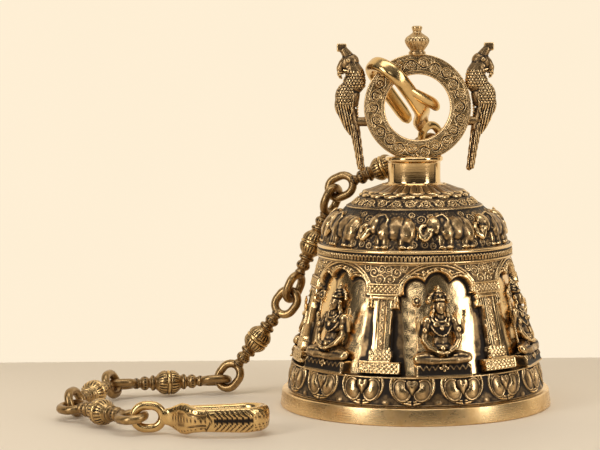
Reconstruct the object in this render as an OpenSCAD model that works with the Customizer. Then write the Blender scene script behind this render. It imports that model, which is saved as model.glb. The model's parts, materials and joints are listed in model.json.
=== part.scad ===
// Cast brass temple bell with a ring crown, two birds, a clapper and a chain of baluster links.
// Millimetres, +Z up. The origin is the centre of the rim's flat resting face.

/* [Bell] */
// Outer diameter of the bell at the rim
rim_d = 204; // [196:1:212]
// Height of the plain band round the rim
rim_h = 12.5; // [10:0.5:14]
// Height of the bell at the foot of the neck
bell_h = 165; // [163:1:168]
// Thickness of the bell wall
wall = 5; // [4:0.5:6]

/* [Decoration] */
// Number of niches round the bell
niche_count = 6; // [5:1:7]
// Turn of the first niche towards the right of the front
niche_turn = 10; // [0:1:30]
// Number of lotus petals above the rim
lotus_count = 16; // [14:1:18]
// Number of elephants on the shoulder
elephant_count = 9; // [8:1:10]
// Number of petals round the foot of the neck
crown_petal_count = 18; // [14:1:20]

/* [Crown] */
// Outer diameter of the neck
neck_d = 40; // [36:1:44]
// Outer diameter of the crown ring
ring_d = 80; // [76:1:84]
// Hole diameter of the crown ring
ring_bore = 49; // [46:1:52]
// Thickness of the crown ring
ring_t = 9; // [8:0.5:10]

/* [Clapper] */
// Diameter of the clapper ball
ball_d = 36; // [30:1:38]
// Height of the clapper's pivot above the rim
pivot_z = 132; // [128:1:133]

/* [Chain] */
// Length of a chain link over its eyes
link_l = 100; // [96:1:102]
// Diameter of the bar that forms an eye
eye_bar = 6.4; // [6:0.1:6.6]
// Diameter of the large bulb in the middle of a link
bulb_d = 19; // [16:0.5:20]
// Length of a hook from the outside of its eye to the outside of its bend
hook_l = 98; // [92:1:100]
// Clear width between the two legs of a hook
hook_throat = 25; // [24:0.5:26]

/* [Hidden] */
$fn = 64;

brass = "#b8933f";
dark_brass = "#8a6a30";
bronze = "#a07a48";

// Bell profile: radii (r) and heights (z) of the outside, from the rim upwards
rim_r = rim_d / 2;
rim_top_r = rim_r - 1.5;
lotus_z = rim_h + 1;
lotus_top_z = 34;
lotus_r = rim_r - 6.5;
lotus_top_r = rim_r - 10.5;
niche_r = rim_r - 16;
niche_top_z = 112;
niche_top_r = 66.5;
cornice_top_z = 121;
shoulder_r = 69.5;
shoulder_top_z = 142;
shoulder_top_r = 55;
bead_z = 147;
bead_r = 51.5;
scroll_top_z = 156.5;
scroll_r = 48.5;
scroll_top_r = 41;
crown_top_r = 22.5;

// Relief depths
lotus_relief = 2.5;
arch_depth = 6;
elephant_relief = 3;
crown_petal_relief = 1.6;

// Neck and crown
neck_r = neck_d / 2;
neck_top_z = 187;
neck_flange_r = neck_r + 1.6;
neck_bore_r = 12;
crown_shift = 2.5;
ring_r = ring_d / 2;
ring_z = neck_top_z + 36.5;

// Clapper
staple_bar = 6.5;
staple_eye_r = 8;
staple_bolt_d = 8;
nut_z = bell_h + 0.2;
nut_h = 7;
rod_bar = 6.5;
rod_eye_r = 8;
ball_z = 26;
contact_gap = 0.4;

// Chain link: an eye is two half rings joined by straight bars
bar_r = eye_bar / 2;
eye_bend_r = 8;
eye_straight = 2;
eye_x = link_l / 2 - bar_r - eye_bend_r - eye_straight;
end_x = link_l / 2 - bar_r;
pull_gap = eye_bar + contact_gap;

// Hook: the legs lie at each side of the line of pull, the eye is on that line
hook_bar = 7.6;
hook_leg_y = (hook_throat + hook_bar) / 2;
hook_bend_x = hook_l - bar_r - eye_bend_r - eye_straight - hook_leg_y - hook_bar / 2;
hook_neck_x = 13;
hook_shank_x = hook_neck_x + 25;
hook_tip_x = 16;
hook_leg_w = 13;
hook_body_w = 21;

// Chain layout. Each piece's turn is [heading, dip, roll]: its +X axis points along the chain,
// dip is downwards, and roll turns the plane of its eyes.
hook_seat = [-18.5, 0, 244.5];
upper_turn = [-136, -44, 168];
link_turns = [
    [168, 24, -73],
    [189, 66, 43],
    [174, 52, 109],
    [192, 0, 17],
    [254, 1, 110],
    [310, -2, 9]
];
lower_turn = [0, 0, 0];

// Rotation of a vector by a turn
function spin_x(v, a) = [v.x, v.y * cos(a) - v.z * sin(a), v.y * sin(a) + v.z * cos(a)];
function spin_y(v, a) = [v.x * cos(a) + v.z * sin(a), v.y, v.z * cos(a) - v.x * sin(a)];
function spin_z(v, a) = [v.x * cos(a) - v.y * sin(a), v.x * sin(a) + v.y * cos(a), v.z];
function turned(v, t) = spin_z(spin_y(spin_x(v, t[2]), t[1]), t[0]);
function unit(v) = v / norm(v);

// Where two eyes pull on each other: the common normal of their bars, pointing along the chain
function pull_line(bar_a, bar_b, way) =
    let (n = unit(cross(bar_a, bar_b))) n * way < 0 ? -n : n;

// The upper hook hangs with the centre of its bend on hook_seat
upper_pos = hook_seat - turned([hook_bend_x, 0, 0], upper_turn);
upper_end = upper_pos - turned([eye_bend_r + eye_straight, 0, 0], upper_turn);

// End of piece i's far bar and the direction of that bar; piece 0 is the upper hook
function far_end(i) = i == 0 ? upper_end : link_pos(i) + turned([end_x, 0, 0], link_turns[i - 1]);
function far_bar(i) = i == 0 ? turned([0, 0, 1], upper_turn) : turned([0, 1, 0], link_turns[i - 1]);
function along(i) = i == 0 ? turned([-1, 0, 0], upper_turn) : turned([1, 0, 0], link_turns[i - 1]);

// Centre of link i, counted from 1
function link_pos(i) =
    let (t = link_turns[i - 1], a = turned([1, 0, 0], t))
    far_end(i - 1) - pull_gap * pull_line(far_bar(i - 1), turned([0, 1, 0], t), along(i - 1) + a)
        + end_x * a;

last = len(link_turns);
lower_axis = turned([1, 0, 0], lower_turn);
lower_pos = far_end(last) + (eye_bend_r + eye_straight) * lower_axis
    - pull_gap * pull_line(far_bar(last), turned([0, 0, 1], lower_turn), along(last) + lower_axis);

// Radius of a cone through (r0, z0) and (r1, z1) at height z
function cone_r(z, r0, z0, r1, z1) = r0 + (r1 - r0) * (z - z0) / (z1 - z0);
function back_r(z) = cone_r(z, niche_r, lotus_top_z, niche_top_r, niche_top_z);
function shoulder_at(z) = cone_r(z, shoulder_r, cornice_top_z, shoulder_top_r, shoulder_top_z);

// A band of a cone, thick relief deep, standing on the surface from (r0, z0) to (r1, z1)
module cone_band(r0, z0, r1, z1, relief) {
    rotate_extrude(convexity = 4)
        polygon([[r0, z0], [r0 + relief, z0], [r1 + relief, z1], [r1, z1]]);
}

// Lays an outline drawn in X (sideways) and Y (up) outwards from the axis at angle a
module radial(a, reach = 130) {
    rotate([0, 0, a - 90]) rotate([90, 0, 180]) linear_extrude(reach, convexity = 4) children();
}

module bell_outline() {
    polygon([
        [0, 0], [rim_r, 0], [rim_top_r, rim_h], [rim_top_r - 4, rim_h], [lotus_r, lotus_z],
        [lotus_top_r, lotus_top_z], [niche_r, lotus_top_z], [niche_top_r, niche_top_z],
        [shoulder_r + 2, niche_top_z], [shoulder_r + 2, cornice_top_z], [shoulder_r, cornice_top_z],
        [shoulder_top_r, shoulder_top_z], [bead_r - 1, bead_z - 3], [scroll_r, bead_z + 3],
        [scroll_top_r, scroll_top_z], [crown_top_r, bell_h], [0, bell_h]
    ]);
}

module bell_inside() {
    polygon([
        [0, -1], [rim_r - 9, -1], [rim_r - 10, rim_h], [niche_r - wall - 2, lotus_top_z],
        [niche_top_r - wall, niche_top_z], [shoulder_r - wall - 3, cornice_top_z - 1],
        [shoulder_top_r - wall - 2, shoulder_top_z - 1], [scroll_top_r - 2, scroll_top_z - wall - 2],
        [crown_top_r, bell_h - 2 * wall], [0, bell_h - 2 * wall]
    ]);
}

module bell_shell() {
    color(brass)
        difference() {
            rotate_extrude(convexity = 6) difference() { bell_outline(); bell_inside(); }
            translate([0, 0, bell_h - 3 * wall]) cylinder(d = staple_bolt_d + 0.2, h = 4 * wall);
        }
}

module cornice() {
    top_r = shoulder_r + 2;
    color(brass)
        rotate_extrude(convexity = 6)
            difference() {
                union() {
                    translate([top_r, niche_top_z]) square([1.5, cornice_top_z - niche_top_z]);
                    translate([top_r + 1.2, cornice_top_z - 1.6]) circle(1.6);
                    translate([top_r + 1.4, niche_top_z + 4.6]) circle(2);
                    translate([top_r + 1.2, niche_top_z + 1.4]) circle(1.4);
                }
                translate([top_r - 10, niche_top_z - 2]) square([10, 20]);
            }
}

// Half-round outline with its point downwards, as a polygon of arc points
module lotus_petal() {
    half_w = lotus_top_r * sin(180 / lotus_count) - 0.6;
    shoulder_z = lotus_z + 10;
    polygon([
        for (a = [0 : 15 : 180]) [half_w * cos(a), shoulder_z - (shoulder_z - lotus_z - 0.5) * sin(a)],
        [-half_w, lotus_top_z - 5], [-half_w / 2, lotus_top_z - 0.5],
        [half_w / 2, lotus_top_z - 0.5], [half_w, lotus_top_z - 5]
    ]);
}

module lotus_petals() {
    color(brass)
        for (i = [0 : lotus_count - 1])
            intersection() {
                cone_band(lotus_r, lotus_z, lotus_top_r, lotus_top_z, lotus_relief);
                radial(-90 - 4.5 + i * 360 / lotus_count) lotus_petal();
            }
}

function niche_angle(i) = -90 + niche_turn + i * 360 / niche_count;

module arch_outline() {
    half_w = 34;
    difference() {
        translate([-half_w, 86]) square([2 * half_w, niche_top_z - 86]);
        translate([0, 95]) circle(10.5);
        for (side = [-1, 1]) translate([side * 17, 92]) circle(9.5);
        translate([-26, 80]) square([52, 12]);
    }
}

module niche_arches() {
    color(brass)
        for (i = [0 : niche_count - 1])
            intersection() {
                cone_band(niche_r, lotus_top_z, niche_top_r, niche_top_z, arch_depth);
                radial(niche_angle(i)) arch_outline();
            }
}

module pillar_outline() {
    translate([-17, lotus_top_z]) square([34, 9]);
    translate([-8.5, lotus_top_z + 9]) square([17, 8]);
    translate([-6.8, lotus_top_z + 17]) square([13.6, 39]);
    translate([-12, lotus_top_z + 56]) square([24, 8]);
}

module pillars() {
    color(brass)
        for (i = [0 : niche_count - 1])
            intersection() {
                cone_band(niche_r, lotus_top_z, niche_top_r, niche_top_z, arch_depth + 1.5);
                radial(niche_angle(i) + 180 / niche_count) pillar_outline();
            }
}

// A calm crowned figure seated cross-legged on a low plinth, facing out along +X
module figure() {
    base_z = lotus_top_z;
    seat_z = base_z + 9;
    knee_y = 19;
    elbow_y = 12;
    staff_y = 16.5;
    back_x = back_r(seat_z);
    translate([back_x - 4, -21, base_z]) cube([9, 42, 9]);
    translate([back_x, knee_y - 2, seat_z + 4.5]) rotate([90, 0, 0]) cylinder(r = 4.1, h = 2 * (knee_y - 2));
    for (side = [-1, 1]) {
        translate([back_x, side * (knee_y - 2), seat_z + 4.5]) sphere(4.4);
        translate([back_x - 1.6, side * elbow_y, seat_z + 8]) cylinder(r = 2.6, h = 20);
        translate([back_x - 2.4, side * (elbow_y - 2), seat_z + 28]) sphere(4);
        translate([back_x - 2, side * staff_y, seat_z + 4]) cylinder(r = 1.8, h = 34);
    }
    translate([back_x - 3, 0, seat_z + 3]) cylinder(r1 = 7.5, r2 = 9, h = 28);
    translate([back_x - 4, 0, seat_z + 30]) cylinder(r = 3, h = 8);
    translate([back_x - 4.5, 0, seat_z + 40]) sphere(5.6);
    translate([back_x - 6, 0, seat_z + 43]) cylinder(r1 = 5, r2 = 2, h = 12);
}

module seated_figures() {
    color(brass)
        for (i = [0 : niche_count - 1]) rotate([0, 0, niche_angle(i)]) figure();
}

module elephant_outline() {
    foot_z = cornice_top_z + 2;
    translate([3, foot_z + 10]) circle(5.6);
    translate([-3, foot_z + 10.5]) circle(5.2);
    translate([-3, foot_z + 5]) square([6, 10.6]);
    translate([-11, foot_z + 12]) circle(4.2);
    translate([-11, foot_z + 8.5]) square([8, 6]);
    for (x = [-7, -3, 2.5, 6.5]) translate([x - 1.4, foot_z]) square([2.8, 9]);
    translate([-16, foot_z + 9]) square([3, 7]);
    translate([8, foot_z + 4]) square([1.6, 7]);
}

module elephants() {
    color(brass)
        for (i = [0 : elephant_count - 1])
            intersection() {
                cone_band(shoulder_r, cornice_top_z, shoulder_top_r, shoulder_top_z, elephant_relief);
                radial(-108.5 + i * 360 / elephant_count) elephant_outline();
            }
}

module crown_petals() {
    half_turn = sin(180 / crown_petal_count);
    tip_r = scroll_top_r * half_turn / (1 + half_turn) - 0.3;
    color(brass)
        for (i = [0 : crown_petal_count - 1])
            intersection() {
                cone_band(scroll_top_r, scroll_top_z, crown_top_r, bell_h, crown_petal_relief);
                rotate([0, 0, -90 + i * 360 / crown_petal_count])
                    linear_extrude(200, convexity = 4) {
                        translate([scroll_top_r - tip_r, 0]) circle(tip_r);
                        polygon([[scroll_top_r - tip_r, -tip_r], [scroll_top_r - tip_r, tip_r],
                                 [crown_top_r, 3.4], [crown_top_r, -3.4]]);
                    }
            }
}

module neck_collar() {
    floor_z = bell_h + 1.8;
    color(brass)
        rotate_extrude(convexity = 6)
            difference() {
                union() {
                    translate([0, bell_h]) square([neck_r, neck_top_z - bell_h]);
                    translate([0, neck_top_z - 3.5]) square([neck_flange_r, 3.5]);
                    translate([0, bell_h]) square([neck_r + 1.5, 1.8]);
                }
                translate([0, bell_h - 1]) square([neck_bore_r, nut_h + 8]);
            }
}

module crown_ring() {
    color(brass)
        difference() {
            translate([crown_shift, ring_t / 2, ring_z]) rotate([90, 0, 0])
                difference() {
                    cylinder(r = ring_r, h = ring_t);
                    translate([0, 0, -1]) cylinder(d = ring_bore, h = ring_t + 2);
                }
            translate([-50, -50, neck_top_z - 30]) cube([100, 100, 30]);
        }
}

module finial() {
    base_z = ring_z + ring_r - 1.5;
    color(brass)
        difference() {
            translate([crown_shift, 0, base_z])
                rotate_extrude()
                    intersection() {
                        union() {
                            square([6.5, 4]);
                            translate([4.6, 9.6]) circle(4.6);
                            translate([0, 3.8]) square([5.5, 9.4]);
                            square([3, 20]);
                            translate([0, 18.4]) circle(3.8);
                        }
                        square([20, 30]);
                    }
            translate([crown_shift, 20, ring_z]) rotate([90, 0, 0]) cylinder(r = ring_r, h = 40);
        }
}

// A perched bird: +X points away from the ring, and its tail hangs below
module bird() {
    hull() {
        translate([8.6, 0, 240]) sphere(7.8, $fn = 24);
        translate([12.6, 0, 227]) sphere(8.6, $fn = 24);
    }
    hull() {
        translate([6.4, 0, 244]) sphere(7.4, $fn = 24);
        translate([10.2, 0, 256]) sphere(6, $fn = 24);
    }
    translate([10.5, 0, 257.5]) sphere(7);
    hull() {
        translate([16, 0, 257]) sphere(2.8, $fn = 20);
        translate([16.6, 0, 247]) sphere(1.3, $fn = 20);
    }
    hull() {
        translate([12, 0, 263]) sphere(2.6, $fn = 20);
        translate([16, 0, 269]) sphere(3.2, $fn = 20);
    }
    hull() {
        translate([13, 0, 222]) sphere(6, $fn = 24);
        translate([9, 0, 206]) sphere(3, $fn = 24);
    }
    hull() {
        translate([7.5, 0, 213]) sphere(4, $fn = 24);
        translate([2.4, 0, 179]) sphere(2.4, $fn = 20);
    }
}

module bird_left() {
    color(dark_brass) translate([-37.7, 0, 0]) mirror([1, 0, 0]) bird();
}

module bird_right() {
    color(dark_brass) translate([40, 0, 0]) bird();
}

// Round lugs that join the birds to the ring
module bird_lugs() {
    lug_d = 7;
    lug_z = 213;
    lug_l = 90;
    color(dark_brass)
        difference() {
            translate([crown_shift - lug_l / 2, 0, lug_z]) rotate([0, 90, 0]) cylinder(d = lug_d, h = lug_l);
            translate([crown_shift, 20, ring_z]) rotate([90, 0, 0]) cylinder(r = ring_r, h = 40);
        }
}

// Ring of round bar, lying in the XZ plane
module bar_ring(bend_r, bar_d) {
    rotate([90, 0, 0]) rotate_extrude() translate([bend_r, 0]) circle(d = bar_d);
}

module clapper_staple() {
    color(dark_brass) {
        translate([0, 0, pivot_z + staple_eye_r])
            rotate([0, 0, 90]) bar_ring(staple_eye_r, staple_bar);
        translate([0, 0, pivot_z + 2 * staple_eye_r])
            cylinder(d = staple_bolt_d, h = nut_z + nut_h + 3 - pivot_z - 2 * staple_eye_r);
    }
}

module staple_nut() {
    color(dark_brass)
        translate([0, 0, nut_z])
            difference() {
                cylinder(d = 15, h = nut_h, $fn = 6);
                translate([0, 0, -1]) cylinder(d = staple_bolt_d, h = nut_h + 2);
            }
}

module clapper_rod() {
    eye_top = pivot_z + (staple_bar + rod_bar) / 2 + contact_gap;
    color(dark_brass) {
        translate([0, 0, eye_top - rod_eye_r]) bar_ring(rod_eye_r, rod_bar);
        translate([0, 0, ball_z])
            cylinder(d = rod_bar, h = eye_top - 2 * rod_eye_r - ball_z);
    }
}

module clapper_ball() {
    color(brass)
        difference() {
            union() {
                translate([0, 0, ball_z]) sphere(d = ball_d);
                translate([0, 0, ball_z - ball_d / 2 - 6]) cylinder(d = 12, h = 10);
            }
            translate([0, 0, ball_z]) cylinder(d = rod_bar, h = ball_d);
        }
}

// Eye of two half rings and two straight bars round x = 0, in the XY plane
module eye() {
    for (side = [-1, 1]) {
        translate([side * eye_straight, 0, 0])
            rotate([0, 0, side * -90])
                rotate_extrude(angle = 180) translate([eye_bend_r, 0]) circle(bar_r);
        translate([-eye_straight, side * eye_bend_r, 0])
            rotate([0, 90, 0]) cylinder(r = bar_r, h = 2 * eye_straight);
    }
}

// Turned bar between the eyes: knobs on each side of a large bulb
module baluster() {
    rotate([0, 90, 0])
        rotate_extrude()
            intersection() {
                union() {
                    translate([0, -27]) square([3.4, 54]);
                    translate([bulb_d / 2 - 7, -5]) square([6.4, 10]);
                    circle(bulb_d / 2);
                    for (side = [-1, 1]) {
                        translate([1.5, side * 12.5]) circle(5.2);
                        translate([1, side * 18]) circle(4.6);
                        translate([1, side * 23.5]) circle(3.9);
                    }
                }
                translate([0, -27]) square([20, 54]);
            }
}

module chain_link(i) {
    color(bronze)
        translate(link_pos(i)) rotate([link_turns[i - 1][2], link_turns[i - 1][1], link_turns[i - 1][0]]) {
            baluster();
            for (side = [-1, 1]) translate([side * eye_x, 0, 0]) eye();
        }
}

module chain_link_1() { chain_link(1); }
module chain_link_2() { chain_link(2); }
module chain_link_3() { chain_link(3); }
module chain_link_4() { chain_link(4); }
module chain_link_5() { chain_link(5); }
module chain_link_6() { chain_link(6); }

// Side view of the hook's bar in the plane of its bend, from the eye's neck to the tip
module hook_side() {
    half = hook_bar / 2;
    polygon([
        [hook_neck_x - 4, -half], [hook_neck_x, -half], [hook_shank_x, -hook_leg_y - half],
        [hook_bend_x, -hook_leg_y - half], [hook_bend_x, -hook_leg_y + half],
        [hook_shank_x + 3, -hook_leg_y + half], [hook_neck_x + 4, half], [hook_neck_x - 4, half]
    ]);
    translate([hook_bend_x, 0])
        intersection() {
            difference() { circle(hook_leg_y + half); circle(hook_leg_y - half); }
            translate([0, -50]) square(100);
        }
    translate([hook_tip_x + half, hook_leg_y - half]) square([hook_bend_x - hook_tip_x - half, hook_bar]);
    translate([hook_tip_x + half, hook_leg_y]) circle(half);
}

// Face view of the hook: a flared body that narrows to the leg
module hook_face() {
    top_x = hook_bend_x + hook_leg_y + hook_bar;
    polygon([
        [hook_neck_x - 4, -6], [hook_neck_x + 6, -6.5], [hook_shank_x - 3, -hook_body_w / 2],
        [hook_shank_x + 3, -hook_body_w / 2], [hook_bend_x, -hook_leg_w / 2], [top_x, -hook_leg_w / 2],
        [top_x, hook_leg_w / 2], [hook_bend_x, hook_leg_w / 2], [hook_shank_x + 3, hook_body_w / 2],
        [hook_shank_x - 3, hook_body_w / 2], [hook_neck_x + 6, 6.5], [hook_neck_x - 4, 6]
    ]);
}

module hook() {
    rotate([90, 0, 0]) eye();
    intersection() {
        translate([0, 0, -20]) linear_extrude(40, convexity = 4) hook_side();
        translate([0, 40, 0]) rotate([90, 0, 0]) linear_extrude(80, convexity = 4) hook_face();
    }
}

module hook_upper() {
    color(bronze)
        translate(upper_pos) rotate([upper_turn[2], upper_turn[1], upper_turn[0]]) hook();
}

module hook_lower() {
    color(bronze)
        translate(lower_pos) rotate([lower_turn[2], lower_turn[1], lower_turn[0]]) hook();
}

bell_shell();
cornice();
lotus_petals();
niche_arches();
pillars();
seated_figures();
elephants();
crown_petals();
neck_collar();
crown_ring();
finial();
bird_left();
bird_right();
bird_lugs();
clapper_staple();
staple_nut();
clapper_rod();
clapper_ball();
hook_upper();
chain_link_1();
chain_link_2();
chain_link_3();
chain_link_4();
chain_link_5();
chain_link_6();
hook_lower();
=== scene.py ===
"""Temple bell: relief-cast brass bell, ring crown with two birds, and a chain of baluster links.

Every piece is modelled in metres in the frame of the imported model, one operator for each kind of piece.
"""
import json
import math

import bmesh
import bpy
import numpy as np
from mathutils import Matrix, Vector


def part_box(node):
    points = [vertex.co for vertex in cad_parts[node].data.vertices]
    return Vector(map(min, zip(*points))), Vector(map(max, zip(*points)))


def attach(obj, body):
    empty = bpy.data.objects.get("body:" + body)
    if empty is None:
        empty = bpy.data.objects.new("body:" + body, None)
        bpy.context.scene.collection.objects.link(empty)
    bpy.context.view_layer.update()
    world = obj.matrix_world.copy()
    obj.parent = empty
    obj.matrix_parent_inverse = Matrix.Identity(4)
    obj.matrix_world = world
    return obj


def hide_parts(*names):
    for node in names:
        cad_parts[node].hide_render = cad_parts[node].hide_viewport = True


bl_info = {
    "name": "Temple bell",
    "version": (1, 0, 0),
    "blender": (4, 5, 0),
    "location": "View3D > Sidebar > Temple bell",
    "description": "Builds the visible pieces of a brass temple bell and its chain",
    "category": "Object",
}

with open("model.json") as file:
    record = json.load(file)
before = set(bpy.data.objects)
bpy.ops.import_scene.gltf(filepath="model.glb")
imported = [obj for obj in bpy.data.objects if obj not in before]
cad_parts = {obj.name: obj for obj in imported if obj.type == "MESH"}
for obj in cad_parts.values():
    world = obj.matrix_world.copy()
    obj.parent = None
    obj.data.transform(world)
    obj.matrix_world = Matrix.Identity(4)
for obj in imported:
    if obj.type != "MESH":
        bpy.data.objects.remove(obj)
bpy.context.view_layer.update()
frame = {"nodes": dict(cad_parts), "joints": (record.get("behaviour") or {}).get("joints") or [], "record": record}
MM = 0.001
TAU = 2 * math.pi


def node_box(node):
    """A node's lowest and highest corners, in millimetres."""
    low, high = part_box(node)
    return np.array(low) / MM, np.array(high) / MM


SHELL_HI = node_box("bell_shell")[1]
RING_LO, RING_HI = node_box("crown_ring")
COLLAR_LO, COLLAR_HI = node_box("neck_collar")
FINIAL_LO, FINIAL_HI = node_box("finial")
RIM_R, CROWN_Z = SHELL_HI[0], SHELL_HI[2]
CORNICE_TOP = node_box("cornice")[1][2]
NICHE_TOP = node_box("niche_arches")[1][2]
NICHE_HEIGHT, SPRING_DROP = 78, 21
NICHE_FOOT = NICHE_TOP - NICHE_HEIGHT
SPRING_Z = NICHE_TOP - SPRING_DROP
WALL_FOOT_R, WALL_TOP_R = RIM_R - 16, RIM_R - 35.5
SHOULDER = [(RIM_R - 32.5, CORNICE_TOP), (RIM_R - 35.6, CORNICE_TOP + 9), (RIM_R - 41.4, CORNICE_TOP + 18.5),
            (RIM_R - 49.4, CORNICE_TOP + 26.5), (RIM_R - 52.2, CORNICE_TOP + 28.6)]

RING_WIDTH = 15.5
BIRD_WIDTH = 21.0
EVEN_TONE, LINK_TONE, CUT_TONE = 0.62, 0.66, 1.3
LINK_BODY, LINK_EYE = 27.5, 36.8
EYE_BAR, EYE_BEND, EYE_STRAIGHT = 6.4, 8.0, 2.0
HOOK_NECK, HOOK_SHANK, HOOK_BEND, HOOK_TIP, HOOK_LEG = 13.0, 38.0, 64.7, 13.0, 16.3


# ---------------------------------------------------------------- sizes and colours

def whole(name, text, value, **limits):
    return bpy.props.IntProperty(name=name, description=text, default=value, **limits)


def number(name, text, value):
    return bpy.props.FloatProperty(name=name, description=text, default=value)


def angle_of(name, text, degrees):
    return bpy.props.FloatProperty(name=name, description=text, default=math.radians(degrees), subtype="ANGLE")


def colour_of(name, text, value):
    return bpy.props.FloatVectorProperty(name=name, description=text, default=value, subtype="COLOR")


class BellSizes(bpy.types.PropertyGroup):
    """Sizes of the relief on the bell."""
    niches: whole("Niches", "Niches round the bell", 6)
    niche_turn: angle_of("Niche turn", "Turn of the first niche from the front", -80)
    petals: whole("Petals", "Lotus petals above the rim", 16)
    petal_turn: angle_of("Petal turn", "Turn of the first lotus petal", -94.5)
    elephants: whole("Elephants", "Elephants on the shoulder", 9)
    elephant_turn: angle_of("Elephant turn", "Turn of the first elephant", -108.5)
    crown_petals: whole("Crown petals", "Petals round the foot of the neck", 18)
    links: whole("Links", "Links in the chain", 6)
    sky: number("Sky", "Strength of the soft surrounding light", 0.30)
    lens: number("Lens", "Camera lens in millimetres", 121.6)
    tilt: angle_of("Tilt", "How far the camera looks down", 4.9)
    roll: angle_of("Roll", "Camera roll", 0.5)
    columns: whole("Columns", "Mesh columns round a relief band", 1056, min=144)


class BrassColours(bpy.types.PropertyGroup):
    """Colours shared by the brass finishes."""
    # This dark colour fills the hollows: patina there plus painted shade.
    patina_and_shade: colour_of("Patina", "Dark film left in the hollows", (0.014, 0.008, 0.004))
    brass: colour_of("Brass", "Toned brass of the middle surfaces", (0.25, 0.145, 0.062))
    rubbed: colour_of("Rubbed brass", "Bright brass of the rubbed edges", (0.84, 0.60, 0.31))
    bronze: colour_of("Chain bronze", "Warmer metal of the chain", (0.73, 0.50, 0.22))
    floor: colour_of("Floor", "Pale table top", (0.82, 0.715, 0.575))
    backdrop: colour_of("Backdrop", "Cream wall behind the table", (1.0, 0.865, 0.662))


# ---------------------------------------------------------------- meshes

def new_object(name, data):
    """An object for a mesh, light or camera, in the scene."""
    obj = bpy.data.objects.new(name, data)
    bpy.context.scene.collection.objects.link(obj)
    return obj


def mark_raised(mesh, values):
    """Stores how rubbed each point is: 0 in a hollow and 1 on an edge; the dark low end stands for patina and, in
    recesses, painted shade.
    """
    layer = mesh.attributes.get("raised") or mesh.attributes.new("raised", "FLOAT", "POINT")
    layer.data.foreach_set("value", np.clip(values, 0, 1).astype(np.float32))


def smooth_shaded(mesh):
    mesh.polygons.foreach_set("use_smooth", [True] * len(mesh.polygons))


def column(items, key, width=3, kind=np.float32):
    """One property of every vertex, edge or triangle, as rows of the given width."""
    out = np.empty(len(items) * width, kind)
    items.foreach_get(key, out)
    return out.reshape(-1, width)


def vertex_array(mesh):
    return column(mesh.vertices, "co").astype(float)


def set_vertices(mesh, points):
    mesh.vertices.foreach_set("co", np.asarray(points, np.float32).reshape(-1))
    mesh.update()


def wrapped_faces(nu, nv, close_u):
    """Quads of a grid of nu by nv points, joined across and, where asked, end to end."""
    a, b = np.meshgrid(np.arange(nu if close_u else nu - 1), np.arange(nv), indexing="ij")
    a2, b2 = (a + 1) % nu, (b + 1) % nv
    quads = np.stack([a * nv + b, a2 * nv + b, a2 * nv + b2, a * nv + b2], -1)
    return quads.reshape(-1, 4)


def grid_object(name, points, raised=None, close_u=True):
    """A grid of points (nu, nv, 3), in millimetres; open ends are closed by flat caps."""
    nu, nv = points.shape[:2]
    faces = wrapped_faces(nu, nv, close_u).tolist()
    if not close_u:
        faces.append(list(range(nv))[::-1])
        faces.append([(nu - 1) * nv + k for k in range(nv)])
    mesh = bpy.data.meshes.new(name)
    mesh.from_pydata((points.reshape(-1, 3) * MM).tolist(), [], faces)
    if raised is not None:
        mark_raised(mesh, raised.reshape(-1))
    smooth_shaded(mesh)
    obj = new_object(name, mesh)
    turn_outwards(obj)
    return obj


def turn_outwards(obj):
    """Makes every face of a closed mesh look outwards."""
    work = bmesh.new()
    work.from_mesh(obj.data)
    bmesh.ops.recalc_face_normals(work, faces=work.faces)
    if work.calc_volume(signed=True) < 0:
        bmesh.ops.reverse_faces(work, faces=work.faces)
    work.to_mesh(obj.data)
    work.free()


def blurred(field, reach_u, reach_v):
    """Box blur of a field that wraps in its first direction."""
    out = field
    for _ in range(2):
        total = sum(np.roll(out, k, axis=0) for k in range(-reach_u, reach_u + 1))
        out = total / (2 * reach_u + 1)
        pad = np.pad(out, ((0, 0), (reach_v, reach_v)), mode="edge")
        n = out.shape[1]
        out = sum(pad[:, k:k + n] for k in range(2 * reach_v + 1)) / (2 * reach_v + 1)
    return out


def circle(steps):
    """Equal angles once round."""
    return np.arange(steps) * TAU / steps


def unit(rows):
    return rows / np.linalg.norm(rows, axis=1)[:, None]


def run_along(points):
    """Length run from the first point to each point of a line."""
    return np.concatenate([[0], np.cumsum(np.linalg.norm(np.diff(points, axis=0), axis=1))])


def lathe(name, profile, steps, wave=None):
    """A closed profile of (radius, height) turned round the Z axis."""
    profile = np.asarray(profile, float)
    angle = circle(steps)[:, None]
    radius = profile[None, :, 0] + 0 * angle
    if wave is not None:
        radius = radius + wave(angle, profile[None, :, 1])
    height = np.broadcast_to(profile[None, :, 1], radius.shape)
    return grid_object(name, np.stack([radius * np.cos(angle), radius * np.sin(angle), height], -1))


def smooth_profile(points, per_span):
    """Catmull-Rom curve through the points of an open profile."""
    p = np.asarray(points, float)
    ext = np.vstack([2 * p[0] - p[1], p, 2 * p[-1] - p[-2]])
    out = []
    for a, b, c, d in zip(ext, ext[1:], ext[2:], ext[3:]):
        for t in np.linspace(0, 1, per_span, endpoint=False):
            out.append(0.5 * (2 * b + (c - a) * t + (2 * a - 5 * b + 4 * c - d) * t * t
                              + (3 * b - a - 3 * c + d) * t ** 3))
    out.append(p[-1])
    return np.array(out)


def resampled(profile, count):
    """Points at equal steps along a profile."""
    p = np.asarray(profile, float)
    run = run_along(p)
    at = np.linspace(0, run[-1], count)
    return np.stack([np.interp(at, run, p[:, k]) for k in range(p.shape[1])], -1)


# ---------------------------------------------------------------- relief drawing (millimetres)

def ridge(distance, half, height):
    """A rounded bar of the given half width along a line."""
    return height * np.sqrt(np.clip(1 - (distance / half) ** 2, 0, 1))


def ease(t):
    return t * t * (3 - 2 * t)


def step(value, edge):
    """0 below zero and 1 above, with a soft edge of the given width."""
    return ease(np.clip(value / edge + 0.5, 0, 1))


def swell(gap, depth):
    """Rounded rise from 0 at an outline to 1 where gap is depth inside it."""
    return np.sqrt(np.clip(-gap / depth, 0, 1))


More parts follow.
